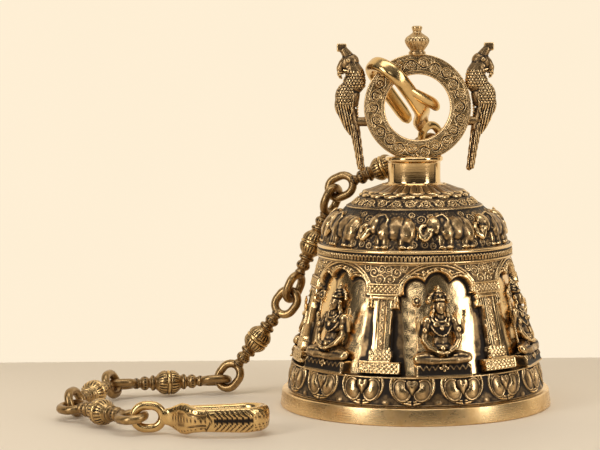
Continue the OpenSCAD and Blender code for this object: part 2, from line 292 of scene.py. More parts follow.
def groove(distance, half):
    """Soft cut of depth 1 along a line."""
    return np.exp(-(distance / half) ** 2)


def disc_gap(u, v, x, y, r):
    """Signed distance to a circle, negative inside."""
    return np.hypot(u - x, v - y) - r


def oval_gap(u, v, x, y, rx, ry, turn=0.0):
    """Approximate signed distance to an ellipse turned by an angle."""
    c, s = math.cos(turn), math.sin(turn)
    a, b = (u - x) * c + (v - y) * s, (v - y) * c - (u - x) * s
    k = np.sqrt((a / rx) ** 2 + (b / ry) ** 2)
    return (k - 1) * min(rx, ry)


def box_gap(u, v, x, y, half_x, half_y, round_r=0.0):
    """Signed distance to a rectangle with rounded corners."""
    dx = np.abs(u - x) - half_x + round_r
    dy = np.abs(v - y) - half_y + round_r
    return np.hypot(np.maximum(dx, 0), np.maximum(dy, 0)) + np.minimum(np.maximum(dx, dy), 0) - round_r


def spiral_gap(u, v, x, y, r, turns, hand, start):
    """Distance to a spiral that winds in from radius r."""
    rho = np.hypot(u - x, v - y)
    turn = hand * np.arctan2(v - y, u - x) - start
    best = np.full(np.broadcast(u, v).shape, 1e3)
    for k in range(-2, int(turns) + 3):
        wound = turn + TAU * k
        along = np.clip(wound / (TAU * turns), 0, 1)
        beyond = np.abs(wound / (TAU * turns) - along)
        best = np.minimum(best, np.hypot(rho - r * (1 - along), 0.35 * r * beyond))
    return best


def grain(u, v, size, seed):
    """Smooth lumpy noise from -1 to 1 on a lattice that repeats well round the bell."""
    rng = np.random.default_rng(seed)
    table = rng.uniform(-1, 1, (256, 256))
    x, y = u / size, v / size
    ix, iy = np.floor(x).astype(int), np.floor(y).astype(int)
    fx, fy = ease(x - ix), ease(y - iy)

    def at(a, b):
        return table[a % 256, b % 256]
    low = at(ix, iy) * (1 - fx) + at(ix + 1, iy) * fx
    high = at(ix, iy + 1) * (1 - fx) + at(ix + 1, iy + 1) * fx
    return low * (1 - fy) + high * fy


# ---------------------------------------------------------------- bands of relief on the bell

def relief_band(name, profile, height, rows, columns):
    """A closed band round the bell: height(angle, run, radius, z) gives the relief on its outside."""
    middle_tone, cavity, deepest, overall, sink = 0.54, 0.62, -0.22, 0.05, 1.2
    line = resampled(profile, rows)
    slope = unit(np.gradient(line, axis=0))
    normal = np.stack([slope[:, 1], -slope[:, 0]], -1)
    angle = circle(columns)
    a, s = np.meshgrid(angle, run_along(line), indexing="ij")
    lift = height(a, s, line[None, :, 0] + 0 * a, line[None, :, 1] + 0 * a)
    lift, tone = lift if isinstance(lift, tuple) else (lift, 0.0)
    # raised: where the relief lies below its blurred self it darkens, down to deepest: patina in the hollows plus
    # painted shade. Higher relief reads a little brighter, and the band's own tone offset is added.
    raised = (middle_tone + np.maximum(lift - blurred(lift, 5, 3), deepest) * cavity
              + (lift - lift.mean()) * overall + tone)
    outer = line[None] + normal[None] * lift[..., None]
    inner = line[::-1][[0, rows // 2, rows - 1]] - normal[::-1][[0, rows // 2, rows - 1]] * sink
    section = np.concatenate([outer, np.broadcast_to(inner[None], (columns, 3, 2))], axis=1)
    shade = np.concatenate([raised, np.zeros((columns, 3))], axis=1)
    c, sn = np.cos(angle)[:, None], np.sin(angle)[:, None]
    return grid_object(name, np.stack([section[..., 0] * c, section[..., 0] * sn, section[..., 1]], -1), shade)


def repeat(angle, first, count):
    """Angle from the nearest of count equal places, and that place's number."""
    pitch = TAU / count
    place = np.round((angle - first) / pitch)
    return angle - first - place * pitch, place


def lotus_relief(props):
    """Two-lobed petals with a double border and a bud between the lobes."""
    def height(a, s, r, z):
        phi, _ = repeat(a, props.petal_turn, props.petals)
        u, top = phi * r, s.max()
        wide = (math.pi * r / props.petals).mean()
        petal = oval_gap(u, s, 0, top * 0.70, wide * 0.90, top * 0.68)
        h = 0.5 + 0.3 * grain(u * 1.0 + 40 * phi, s, 0.9, 3)
        h = np.where(petal < 0, 0.8, h)
        for at, size in ((0.9, 0.8), (2.7, 0.6)):
            h = np.maximum(h, 0.8 + ridge(petal + at, size, 1.3) * (petal < 0))
        lobe = oval_gap(np.abs(u), s, wide * 0.40, top * 0.54, wide * 0.31, top * 0.37, -0.28)
        h = np.where(lobe < 1.0, 0.9, h)
        h = np.maximum(h, 1.0 + ridge(lobe - 0.1, 0.5, 0.9))
        h = np.maximum(h, 0.9 + 1.7 * swell(lobe, 4.5))
        heart = np.hypot((np.abs(u) - 2.0) / 2.6, (s - top * 0.72) / 3.4) - 1
        heart = np.minimum(heart, (np.abs(u) - 4.2 * np.clip((s - top * 0.36) / (top * 0.36), 0, 1)) / 2.6
                           + 9 * (s > top * 0.72))
        h = np.where(heart < 0.30, 0.6, h)
        h = np.where(heart < 0, 1.5 + 0.8 * np.clip(-heart, 0, 1), h)
        leaf = oval_gap(np.abs(u), s, wide * 1.0, top * 0.10, 3.4, 2.6)
        h = np.maximum(h, 0.5 + 1.1 * swell(leaf, 2.6))
        rail = np.maximum(ridge(s - top + 0.7, 0.7, 1.6), ridge(s - 0.2, 0.6, 0.9))
        return np.maximum(h, rail + 0.5)
    return height


def trefoil_gap(u, z, spring):
    """Signed distance to the niche's three-lobed opening, negative inside."""
    lobes = np.minimum(disc_gap(u, z, 0, spring + 4.6, 10.4), disc_gap(np.abs(u), z, 16.6, spring + 1.4, 9.6))
    below = box_gap(u, z, 0, spring - 48, 30.0, 47.0)
    return np.minimum(lobes, below)


def chain_band(u, z, gap, lo, hi, size):
    """Row of little scrolls in the strip where gap lies between lo and hi."""
    inside = (gap > lo) & (gap < hi)
    wave = np.abs(gap - (lo + hi) / 2 - (hi - lo) * 0.22 * np.sin(u * TAU / size + z * 1.2))
    return ridge(wave, 0.55, 0.8) * inside


def crossed(u, v, size):
    """Net of crossed engraved lines."""
    a = np.abs(((u + v) / size) % 1 - 0.5)
    b = np.abs(((u - v) / size) % 1 - 0.5)
    return np.maximum(step(a - 0.36, 0.10), step(b - 0.36, 0.10))


def niche_relief(props, depth):
    """Back wall, three-lobed arches with mouldings and scrolls, and pillars with engraved blocks; also a back-wall
    tone with painted shade along its edges.
    """
    def height(a, s, r, z):
        phi, place = repeat(a, props.niche_turn, props.niches)
        u = phi * (r + depth)
        face, ground = depth * 0.80, depth * 0.72
        h = 0.4 + (0.12 * grain(u + 37 * place, z, 4.5, 5) + 0.02 * grain(u + 11 * place, z, 1.9, 6))
        gap = trefoil_gap(u, z, SPRING_Z)
        plate = step(gap, 0.8) * step(z - SPRING_Z + 11, 0.8)
        outer_arc = disc_gap(u, z, 0, SPRING_Z - 14, 33.5)
        arch = face + 0 * u + ridge(gap - 0.9, 0.8, 1.1)
        for line, half, lift in ((gap - 2.8, 0.6, 0.8), (outer_arc - 0.2, 0.7, 1.1),
                                 (outer_arc - 2.2, 0.6, 0.9)):
            arch = np.maximum(arch, face + ridge(line, half, lift))
        arch = arch + chain_band(u, z, outer_arc, -5.6, -0.9, 5.2)
        beyond = outer_arc > 3.0
        edge = math.pi / props.niches * (r + depth)
        arch = np.where(beyond, ground + 0.35 * grain(u, z, 1.1, 8), arch)
        side = np.abs(u) - edge
        for x, y, size, hand in ((-4.2, 9.2, 3.9, 1), (-8.8, 14.4, 3.6, -1), (-14.4, 17.6, 2.8, 1),
                                 (-2.6, 16.6, 2.7, 1)):
            curl = spiral_gap(side, z, x, SPRING_Z + y, size, 1.5, hand, 0.6)
            arch = np.where(beyond, np.maximum(arch, depth * 0.74 + ridge(curl, 0.5, 1.0)), arch)
        arch = np.maximum(arch, face + ridge(z - NICHE_TOP + 0.9, 0.9, 1.0))
        h = np.maximum(h, plate * arch)
        w, across = np.abs(side), side * np.sign(u)
        pillar = pillar_relief(across, z, w, depth)
        beaten_wall = (plate * arch < 0.3) & (pillar < 0.3)
        # Painted shade: the back wall is brightened away from the arch and pillar edges and left darker along
        # them, in the niche corners; the grain term is random tone.
        near = np.clip((-gap - 0.6) / 3.0, 0, 1) * np.clip((w - 8.0) / 3.0, 0, 1)
        tone = beaten_wall * (0.04 + 0.46 * near + 0.08 * grain(u + 71 * place, z, 7.0, 9))
        return np.maximum(h, pillar), tone
    return height


def pillar_relief(across, z, w, depth):
    """One pillar: plinth, small block, shaft with a vine strip, and capital."""
    def slab(height, half_x, half_y, round_r):
        return box_gap(across, z, 0, NICHE_FOOT + height, half_x, half_y, round_r)
    plinth, block = slab(4.6, 15.8, 4.4, 0.5), slab(13.0, 8.6, 4.2, 1.6)
    shaft, capital = slab(36.0, 6.9, 20.5, 0.3), slab(59.2, 12.6, 4.2, 0.5)
    h = depth * 0.92 * step(-shaft, 0.7)
    strip = np.abs(across) < 2.7
    vine = (ridge(across - 1.3 * np.sin(z * 1.15), 0.7, 0.7)
            + ridge(across + 1.3 * np.sin(z * 1.15 + 0.6), 0.5, 0.4))
    h = h + strip * (shaft < -0.5) * (vine - 0.7)
    h = h + ridge(np.abs(across) - 3.3, 0.5, 0.6) * (shaft < 0)
    h = np.maximum(h, (depth * 0.94 + 0.9 * swell(block, 4)) * step(-block, 0.6)
                   - 0.5 * crossed(across, z, 3.2) * (block < -0.9))
    for gap, lift, cell in ((plinth, depth + 1.1, 3.6), (capital, depth + 0.9, 3.4)):
        face = lift - 0.65 * crossed(across, z, cell) * (gap < -1.5) - 0.6 * ((gap > -1.6) & (gap < -1.0))
        h = np.maximum(h, face * step(-gap, 0.5))
    collar, near = z - NICHE_FOOT - 53.6, w < 8.2
    collar = ridge(collar, 1.0, depth * 0.1) * near + depth * 0.95 * ((np.abs(collar) < 1) & near)
    return np.maximum(h, collar)


def shoulder_relief(props):
    """Scrolls and small flowers on the ground between the elephants."""
    darker = -0.09
    def height(a, s, r, z):
        phi, _ = repeat(a, props.elephant_turn + math.pi / props.elephants, props.elephants)
        u, top = phi * r, s.max()
        h = 0.5 + 0.45 * grain(a * 60, s, 1.0, 11)
        for x, y, size, hand in (
                (0, 0.72, 3.4, 1), (-4.8, 0.46, 2.6, -1), (4.6, 0.40, 2.6, 1), (1.5, 0.15, 2.4, -1),
                (-6.5, 0.84, 2.3, 1), (6.8, 0.80, 2.2, -1), (-6.2, 0.15, 2.2, 1), (7.6, 0.12, 2.1, -1)):
            h = np.maximum(h, 0.5 + ridge(spiral_gap(u, s, x, y * top, size, 1.4, hand, 0.5), 0.5, 0.75))
        return np.maximum(h, 0.6 + ridge(s - top + 0.6, 0.8, 1.0)), darker
    return height


def cornice_relief():
    """Mouldings with a row of little upright arcs between them."""
    radius, arcs_round = 74, 150

    def height(a, s, r, z):
        top, pitch = s.max(), radius * TAU / arcs_round
        local = (a * radius / pitch) % 1 - 0.5
        arc = np.hypot(local * pitch / 1.25, np.maximum(s - top * 0.46, 0) / 1.5)
        h = 0.6 + ridge(arc - 0.82, 0.34, 0.9) * (s > top * 0.24) * (s < top * 0.72)
        for at, half, lift in ((0.12, 0.9, 1.3), (0.80, 0.8, 1.2), (0.96, 0.7, 1.0)):
            h = np.maximum(h, 0.6 + ridge(s - top * at, half, lift))
        return h
    return height


def scroll_relief():
    """Running wave of engraved scrolls under the petals of the crown."""
    count = 26

    def height(a, s, r, z):
        phi, place = repeat(a, 0.0, count)
        flip = np.where(place % 2 == 0, 1.0, -1.0)
        mid = s.max() * 0.5
        gap = np.minimum(spiral_gap(phi * r, mid + (s - mid) * flip, 0, mid, 3.5, 1.6, 1, 0.3),
                         np.abs(s - mid - flip * 2.6 * np.cos(np.clip(phi * count, -math.pi, math.pi))))
        h = 0.5 + ridge(gap, 0.6, 0.9) + 0.2 * grain(a * 45, s, 0.8, 13)
        return np.maximum(h, 0.5 + ridge(s - 0.4, 0.7, 1.0))
    return height


def crown_relief(props):
    """Two rows of radiating petals with raised tips."""
    def height(a, s, r, z):
        top = s.max()
        h = 0.3 + 0 * a
        for shift, foot, tip, lift in ((0.5, 0.0, 0.95, 0.6), (0.0, 0.14, 1.0, 1.25)):
            phi, _ = repeat(a, math.radians(-90) + shift * TAU / props.crown_petals, props.crown_petals)
            t = np.clip((s / top - foot) / (tip - foot), 0, 1)
            wide = (math.pi * r / props.crown_petals * 0.96
                    * np.sqrt(np.clip(1 - (1 - t * 3.2).clip(0, 1) ** 2, 0, 1)))
            gap = np.abs(phi * r) - wide
            live = (s / top > foot) & (s / top < tip)
            petal = lift + 0.9 * swell(gap, 3.0) + 0.9 * groove(t - 0.10, 0.13)
            petal = petal - 0.6 * ridge(phi * r, 0.4, 1) * (t > 0.25)
            h = np.where(live & (gap < -0.15), petal, h)
        return h
    return height


# ---------------------------------------------------------------- modelling by joined rounded forms

class Clay:
    """Collects overlapping rounded forms in one mesh, then melts them together."""

    def __init__(self):
        self.work = bmesh.new()

    def oval(self, centre, radii, turn=(0, 0, 0), fine=2):
        around = Matrix.Rotation(turn[1], 3, "Y") @ Matrix.Rotation(turn[0], 3, "X")
        place = Matrix.LocRotScale(Vector(centre), around, Vector(radii))
        bmesh.ops.create_icosphere(self.work, subdivisions=fine, radius=1, matrix=place)

    def limb(self, path, radii, sides=10):
        """A round bar through the points of path, closed by round ends."""
        path = [Vector(p) for p in path]
        if not hasattr(radii, "__len__"):
            radii = [radii] * len(path)
        for a, b, ra, rb in zip(path[:-1], path[1:], radii[:-1], radii[1:]):
            run = b - a
            place = Matrix.Translation((a + b) / 2) @ run.to_track_quat("Z", "Y").to_matrix().to_4x4()
            bmesh.ops.create_cone(self.work, cap_ends=True, segments=sides, radius1=ra, radius2=rb,
                                  depth=run.length, matrix=place)
        for p, r in zip(path, radii):
            self.oval(p, (r, r, r), fine=1 if r < 1.5 else 2)

    def block(self, centre, size, round_r):
        place = Matrix.Translation(centre) @ Matrix.Diagonal((*size, 1))
        made = bmesh.ops.create_cube(self.work, size=1, matrix=place)["verts"]
        edges = list({e for v in made for e in v.link_edges})
        bmesh.ops.bevel(self.work, geom=edges, offset=round_r, segments=2, affect="EDGES", profile=0.5)

    def melted(self, name, voxel, smooth):
        """One closed skin round all the forms, in millimetres until it is placed."""
        mesh = bpy.data.meshes.new(name)
        self.work.to_mesh(mesh)
        self.work.free()
        obj = new_object(name, mesh)
        remesh = obj.modifiers.new("skin", "REMESH")
        remesh.mode, remesh.voxel_size = "VOXEL", voxel
        soften = obj.modifiers.new("soften", "SMOOTH")
        soften.factor, soften.iterations = 0.5, smooth
        return flattened(obj)


def flattened(obj):
    """Replaces an object's mesh by its evaluated one and drops its modifiers."""
    view = bpy.context.evaluated_depsgraph_get()
    mesh = bpy.data.meshes.new_from_object(obj.evaluated_get(view))
    obj.modifiers.clear()
    old, obj.data = obj.data, mesh
    bpy.data.meshes.remove(old)
    return obj


def shade_raised(obj, rounds):
    """Marks what stands out from the softened form as rubbed, and what lies in a hollow as dark: patina there plus
    painted shade.
    """
    middle_tone, contrast = 0.42, 1.3
    mesh = obj.data
    edges = column(mesh.edges, "vertices", 2, np.int32)
    points, normals = vertex_array(mesh), column(mesh.vertices, "normal")
    count = np.bincount(edges.ravel(), minlength=len(points)).clip(1)[:, None]
    soft = points.copy()
    for _ in range(rounds):
        total = np.zeros_like(soft)
        np.add.at(total, edges[:, 0], soft[edges[:, 1]])
        np.add.at(total, edges[:, 1], soft[edges[:, 0]])
        soft = 0.4 * soft + 0.6 * total / count
    # Points below the softened form get darker: patina plus painted shade in the hollows.
    lift = ((points - soft) * normals).sum(1)
    mark_raised(mesh, middle_tone + contrast * lift / max(lift.std(), 1e-9) * 0.16)
    smooth_shaded(mesh)


def placed(obj, matrix=None, scale=MM):
    """Moves millimetre geometry into place and to metres, in its mesh."""
    if matrix is not None:
        obj.data.transform(matrix)
    obj.data.transform(Matrix.Scale(scale, 4))
    obj.data.update()
    return obj


# ---------------------------------------------------------------- geometry nodes for what repeats

def ring_of(name, source, count, first, material):
    """Copies a form round the Z axis with a node tree: count copies from the first angle."""
    tree = bpy.data.node_groups.new(name, "GeometryNodeTree")
    face = tree.interface
    values = {"Form": source, "Count": count, "First angle": first, "Material": material}
    for label, kind in zip(("Geometry", *values), ("Geometry", "Object", "Int", "Float", "Material")):
        face.new_socket(label, in_out="INPUT", socket_type="NodeSocket" + kind)
    face.new_socket("Geometry", in_out="OUTPUT", socket_type="NodeSocketGeometry")
    made = {label: tree.nodes.new(kind) for label, kind in (
        ("given", "NodeGroupInput"), ("out", "NodeGroupOutput"), ("line", "GeometryNodeMeshLine"),
        ("form", "GeometryNodeObjectInfo"), ("index", "GeometryNodeInputIndex"), ("pitch", "ShaderNodeMath"),
        ("turn", "ShaderNodeMath"), ("angles", "ShaderNodeCombineXYZ"),
        ("copies", "GeometryNodeInstanceOnPoints"), ("real", "GeometryNodeRealizeInstances"),
        ("finish", "GeometryNodeSetMaterial"))}
    made["line"].inputs["Offset"].default_value = (0, 0, 0)
    made["pitch"].operation, made["turn"].operation = "DIVIDE", "MULTIPLY_ADD"
    made["pitch"].inputs[0].default_value = TAU
    for source_node, output, target, socket in (
            ("given", "Count", "line", "Count"), ("given", "Form", "form", "Object"),
            ("given", "Count", "pitch", 1), ("index", 0, "turn", 0), ("pitch", 0, "turn", 1),
            ("given", "First angle", "turn", 2), ("turn", 0, "angles", "Z"), ("line", 0, "copies", "Points"),
            ("form", "Geometry", "copies", "Instance"), ("angles", 0, "copies", "Rotation"),
            ("copies", 0, "real", 0), ("real", 0, "finish", "Geometry"),
            ("given", "Material", "finish", "Material"), ("finish", 0, "out", 0)):
        tree.links.new(made[source_node].outputs[output], made[target].inputs[socket])
    host = new_object(name, bpy.data.meshes.new(name))
    modifier = host.modifiers.new("copies", "NODES")
    modifier.node_group = tree
    for item in face.items_tree:
        if item.in_out == "INPUT" and item.name in values:
            modifier[item.identifier] = values[item.name]
    flattened(host)
    bpy.data.node_groups.remove(tree)
    bpy.data.objects.remove(source)
    return host


# ---------------------------------------------------------------- figures, elephants and birds

def arc_path(centre, radius, start, end, steps, depth=0.0, squash=1.0):
    """Points (x, y, z) of an arc in the YZ plane, bowed forwards by depth at its middle."""
    out = []
    for t in np.linspace(0, 1, steps):
        a = math.radians(start + (end - start) * t)
        out.append((centre[0] + depth * math.sin(math.pi * t), centre[1] + radius * math.cos(a),
                    centre[2] + squash * radius * math.sin(a)))
    return out


def figure_form():
    """A calm crowned figure seated cross-legged: x outwards from the wall, y sideways, z up."""
    clay = Clay()
    oval, limb = clay.oval, clay.limb
    foot = NICHE_FOOT
    seat = foot + 9.5
    clay.block((1.5, 0, foot + 4.3), (9.0, 41, 8.6), round_r=0.8)
    clay.block((6.0, 0, foot + 0.7), (1.6, 42, 1.2), round_r=0.3)
    teeth = [(6.3, y, foot + (8.0 if k % 2 else 5.2)) for k, y in enumerate(np.linspace(-20, 20, 19))]
    limb(teeth, 0.5, 6)
    for y in np.linspace(-19, 19, 20):
        limb([(5.9, y, foot + 1.2), (5.9, y, foot + 4.4)], 0.36, 6)
    for y, z, r in ((0, 7.6, 1.7), (-2.3, 6.2, 1.3), (2.3, 6.2, 1.3), (0, 4.6, 1.1)):
        oval((6.8, y, foot + z), (0.9, r, r))
    for side in (-1, 1):
        limb([(1.5, side * 6, seat + 5), (3.6, side * 13, seat + 4.4), (4.0, side * 18.6, seat + 3.6)],
             [4.2, 4.2, 3.5], 14)
        limb([(4.6, side * 18.2, seat + 3.0), (6.8, side * 9, seat + 2.2), (7.6, side * -2.0, seat + 2.0)],
             [3.1, 2.9, 1.9], 12)
        oval((8.0, side * -5.6, seat + 2.4), (1.7, 3.3, 1.3))
        for k in range(3):
            limb(arc_path((4.2, side * (9 + 3.4 * k), seat + 2.4), 3.7, 15, 165, 6, 3.4), 0.38, 6)
        shoulder = (2.4, side * 9.4, seat + 29.5)
        elbow = (4.0, side * 13.0, seat + 16.5)
        wrist = (7.4, side * 5.2, seat + 9.0)
        oval(shoulder, (3.4, 3.6, 3.2))
        limb([shoulder, (3.2, side * 12.2, seat + 22), elbow], [2.9, 2.7, 2.2], 12)
        limb([elbow, (6.2, side * 9.6, seat + 11.6), wrist], [2.3, 2.1, 1.5], 12)
        oval((8.6, side * 2.2, seat + 7.8), (1.8, 3.2, 1.3), (side * 0.2, 0, 0))
        oval((6.0, side * 12.6, seat + 23.4), (1.3, 1.9, 1.9))
        limb(arc_path((3.2, side * 12.0, seat + 21.8), 3.1, 0, 360, 12), 0.55, 6)
        limb(arc_path((6.9, side * 6.6, seat + 10.0), 1.9, 0, 360, 10), 0.5, 6)
        rear = (0.6, side * 9.5, seat + 29)
        bend = (1.4, side * 15.8, seat + 21.0)
        palm = (4.6, side * 16.8, seat + 30.5)
        limb([rear, bend, palm], [2.4, 2.0, 1.4], 10)
        limb(arc_path((4.0, side * 16.6, seat + 28.6), 1.8, 0, 360, 10), 0.45, 6)
        oval((4.0, side * 4.5, seat + 39.6), (1.6, 1.1, 2.2))
        oval((5.0, side * 5.1, seat + 36.4), (1.0, 1.0, 1.6))
        for k in range(5):
            oval((3.2, side * (3.4 + 2.4 * k / 4 + 1.4), seat + 36 - 1.7 * k), (1.6, 1.3, 1.4))
    limb([(1.6, -17.2, seat + 2), (2.6, -17.2, seat + 40)], 0.95, 8)
    oval((3.2, -16.6, seat + 43.8), (1.3, 3.9, 3.9))
    for k in range(8):
        a = TAU * k / 8
        oval((4.2, -16.6 + 2.6 * math.cos(a), seat + 43.8 + 2.6 * math.sin(a)), (0.9, 0.9, 0.9), fine=1)
    oval((4.6, -16.6, seat + 43.8), (1.1, 1.2, 1.2))
    oval((4.8, 17.2, seat + 33.4), (1.2, 1.9, 2.4))
    for k in range(4):
        limb([(5.4, 15.9 + 0.9 * k, seat + 33.5), (5.2, 15.7 + 1.0 * k, seat + 37.2)], 0.5, 6)
    oval((2.0, 0, seat + 14), (4.6, 6.6, 7.5))
    oval((2.6, 0, seat + 25), (4.6, 8.9, 8.2))
    oval((6.0, 3.4, seat + 27.2), (1.6, 3.0, 2.2))
    oval((6.0, -3.4, seat + 27.2), (1.6, 3.0, 2.2))
    oval((6.3, 0, seat + 14.6), (0.9, 0.8, 0.8))
    for z, r in ((10.4, 6.8), (12.2, 6.6)):
        belt = [(2.0 + 4.9 * math.cos(a), r * math.sin(a), seat + z) for a in np.linspace(-1.4, 1.4, 12)]
        limb(belt, 0.55, 6)
    oval((7.6, 0, seat + 10.6), (0.8, 1.5, 1.5))
    limb([(3.2, 0, seat + 31), (3.8, 0, seat + 35)], [3.2, 2.6], 14)
    limb(arc_path((5.6, 0, seat + 32.0), 4.2, 185, 355, 12, 1.4, 0.75), 0.6, 6)
    limb(arc_path((5.2, 0, seat + 31.6), 6.4, 190, 350, 14, 2.0, 0.85), 0.6, 6)
    limb(arc_path((4.8, 0, seat + 31.5), 8.0, 205, 335, 14, 2.6, 1.55), 0.5, 6)
    oval((7.6, 0, seat + 24.4), (0.9, 1.5, 1.7))
    head = seat + 39.5
    oval((4.6, 0, head), (4.3, 4.1, 5.2), fine=3)
    oval((5.4, 0, head - 2.6), (3.2, 3.0, 2.8))
    limb([(8.4, 0, head + 1.6), (9.3, 0, head - 0.8)], [0.45, 0.75], 8)
    for side in (-1, 1):
        oval((8.2, side * 1.65, head + 0.9), (0.55, 0.95, 0.45))
        limb([(8.3, side * 0.7, head + 2.1), (8.3, side * 1.8, head + 2.4), (7.6, side * 2.9, head + 1.9)],
             0.3, 6)
    oval((8.5, 0, head - 2.2), (0.5, 1.1, 0.32))
    oval((8.35, 0, head - 2.9), (0.5, 0.85, 0.34))
    oval((7.9, 0, head - 4.3), (0.8, 1.0, 0.8))
    for z, r, h in ((4.4, 4.6, 1.0), (6.2, 4.2, 1.1), (8.3, 3.5, 1.2), (10.4, 2.7, 1.2), (12.2, 1.9, 1.2),
                    (13.8, 1.0, 1.2)):
        oval((4.0 - 0.12 * z, 0, head + z), (r * 0.9, r, h))
    for y in (-3.0, -1.5, 0, 1.5, 3.0):
        oval((7.9 - 0.25 * abs(y), y, head + 5.2 - 0.1 * abs(y)), (0.7, 0.65, 1.1), fine=1)
    oval((6.9, 0, head + 8.0), (0.8, 1.0, 1.6), fine=1)
    for k in range(-4, 5):
        a = math.radians(90 + 20 * k)
        oval((1.4, 7.2 * math.cos(a), head + 2 + 7.4 * math.sin(a)), (1.5, 1.9, 1.9), fine=1)
    obj = clay.melted("figure_form", 0.60, 1)
    shade_raised(obj, 12)
    points = vertex_array(obj.data)
    wall = np.interp(points[:, 2], [NICHE_FOOT, NICHE_TOP], [WALL_FOOT_R, WALL_TOP_R])
    points[:, 0] += wall + 0.9
    set_vertices(obj.data, points)
    return placed(obj)


def elephant_form():
    """A walking elephant with a curled trunk, laid on the shoulder's slope."""
    clay = Clay()
    oval, limb = clay.oval, clay.limb

    def put(u, v, w, radii, turn=0.0):
        oval((w, u, v), (radii[2], radii[0], radii[1]), (turn, 0, 0))

    put(3.5, 13.4, 1.0, (11.4, 7.6, 5.0))
    put(10.6, 12.0, 1.2, (6.6, 8.2, 5.0))
    put(-3.8, 12.6, 1.2, (6.2, 7.8, 5.0))
    put(-11.8, 15.2, 2.0, (5.6, 6.2, 4.4), 0.3)
    put(-11.6, 18.2, 1.6, (3.2, 2.6, 2.8))
    put(-6.2, 14.8, 4.2, (4.2, 5.6, 1.3), -0.2)
    limb([(5.2, -9.8, 19.2), (5.6, -5.4, 20.2), (5.6, -2.2, 16.8), (5.4, -3.8, 11.2), (5.0, -7.2, 9.2)],
         0.6, 6)
    limb([(2.2, -13.8, 13.6), (2.2, -16.4, 9.6), (2.0, -18.8, 7.0), (1.8, -21.4, 8.2), (1.8, -22.2, 11.8),
          (1.8, -20.6, 14.6), (1.9, -18.4, 14.8)], [3.0, 2.7, 2.3, 1.9, 1.6, 1.3, 1.0], 12)
    limb([(4.2, -13.4, 11.6), (4.8, -15.8, 10.6), (4.4, -17.4, 12.2)], [1.1, 0.9, 0.4], 8)
    for u, w in ((-7.4, 0.0), (-2.6, 1.0), (8.4, 1.0), (13.4, 0.0)):
        limb([(w, u, 8.5), (w - 0.4, u - 0.4, 4.6), (w - 0.8, u - 0.2, 2.2)], [3.4, 2.7, 2.5], 12)
        put(u - 0.5, 1.8, w + 0.2, (3.0, 1.1, 2.5))
    limb([(0.6, 15.6, 15.6), (0.8, 18.0, 12.0), (0.8, 17.4, 7.0)], [1.0, 0.8, 1.1], 8)
    limb([(0.6 + 4.7 * math.cos(t), 7.4, 13.2 + 7.2 * math.sin(t)) for t in np.linspace(-1.0, 1.2, 12)],
         0.5, 6)
    put(-13.0, 16.6, 4.6, (0.9, 0.7, 0.6))
    obj = clay.melted("elephant_form", 0.58, 2)
    shade_raised(obj, 12)
    points = vertex_array(obj.data)
    line = resampled(smooth_profile(SHOULDER, 8), 60)
    run, slope = run_along(line), unit(np.gradient(line, axis=0))
    along, off = points[:, 2] * 1.28 + 0.8, points[:, 0] - 0.4
    radius = np.interp(along, run, line[:, 0]) + np.interp(along, run, slope[:, 1]) * off
    height = np.interp(along, run, line[:, 1]) - np.interp(along, run, slope[:, 0]) * off
    angle = points[:, 1] * 1.08 / (RIM_R - 38)
    set_vertices(obj.data, np.stack([radius * np.cos(angle), radius * np.sin(angle), height], -1))
    return placed(obj)


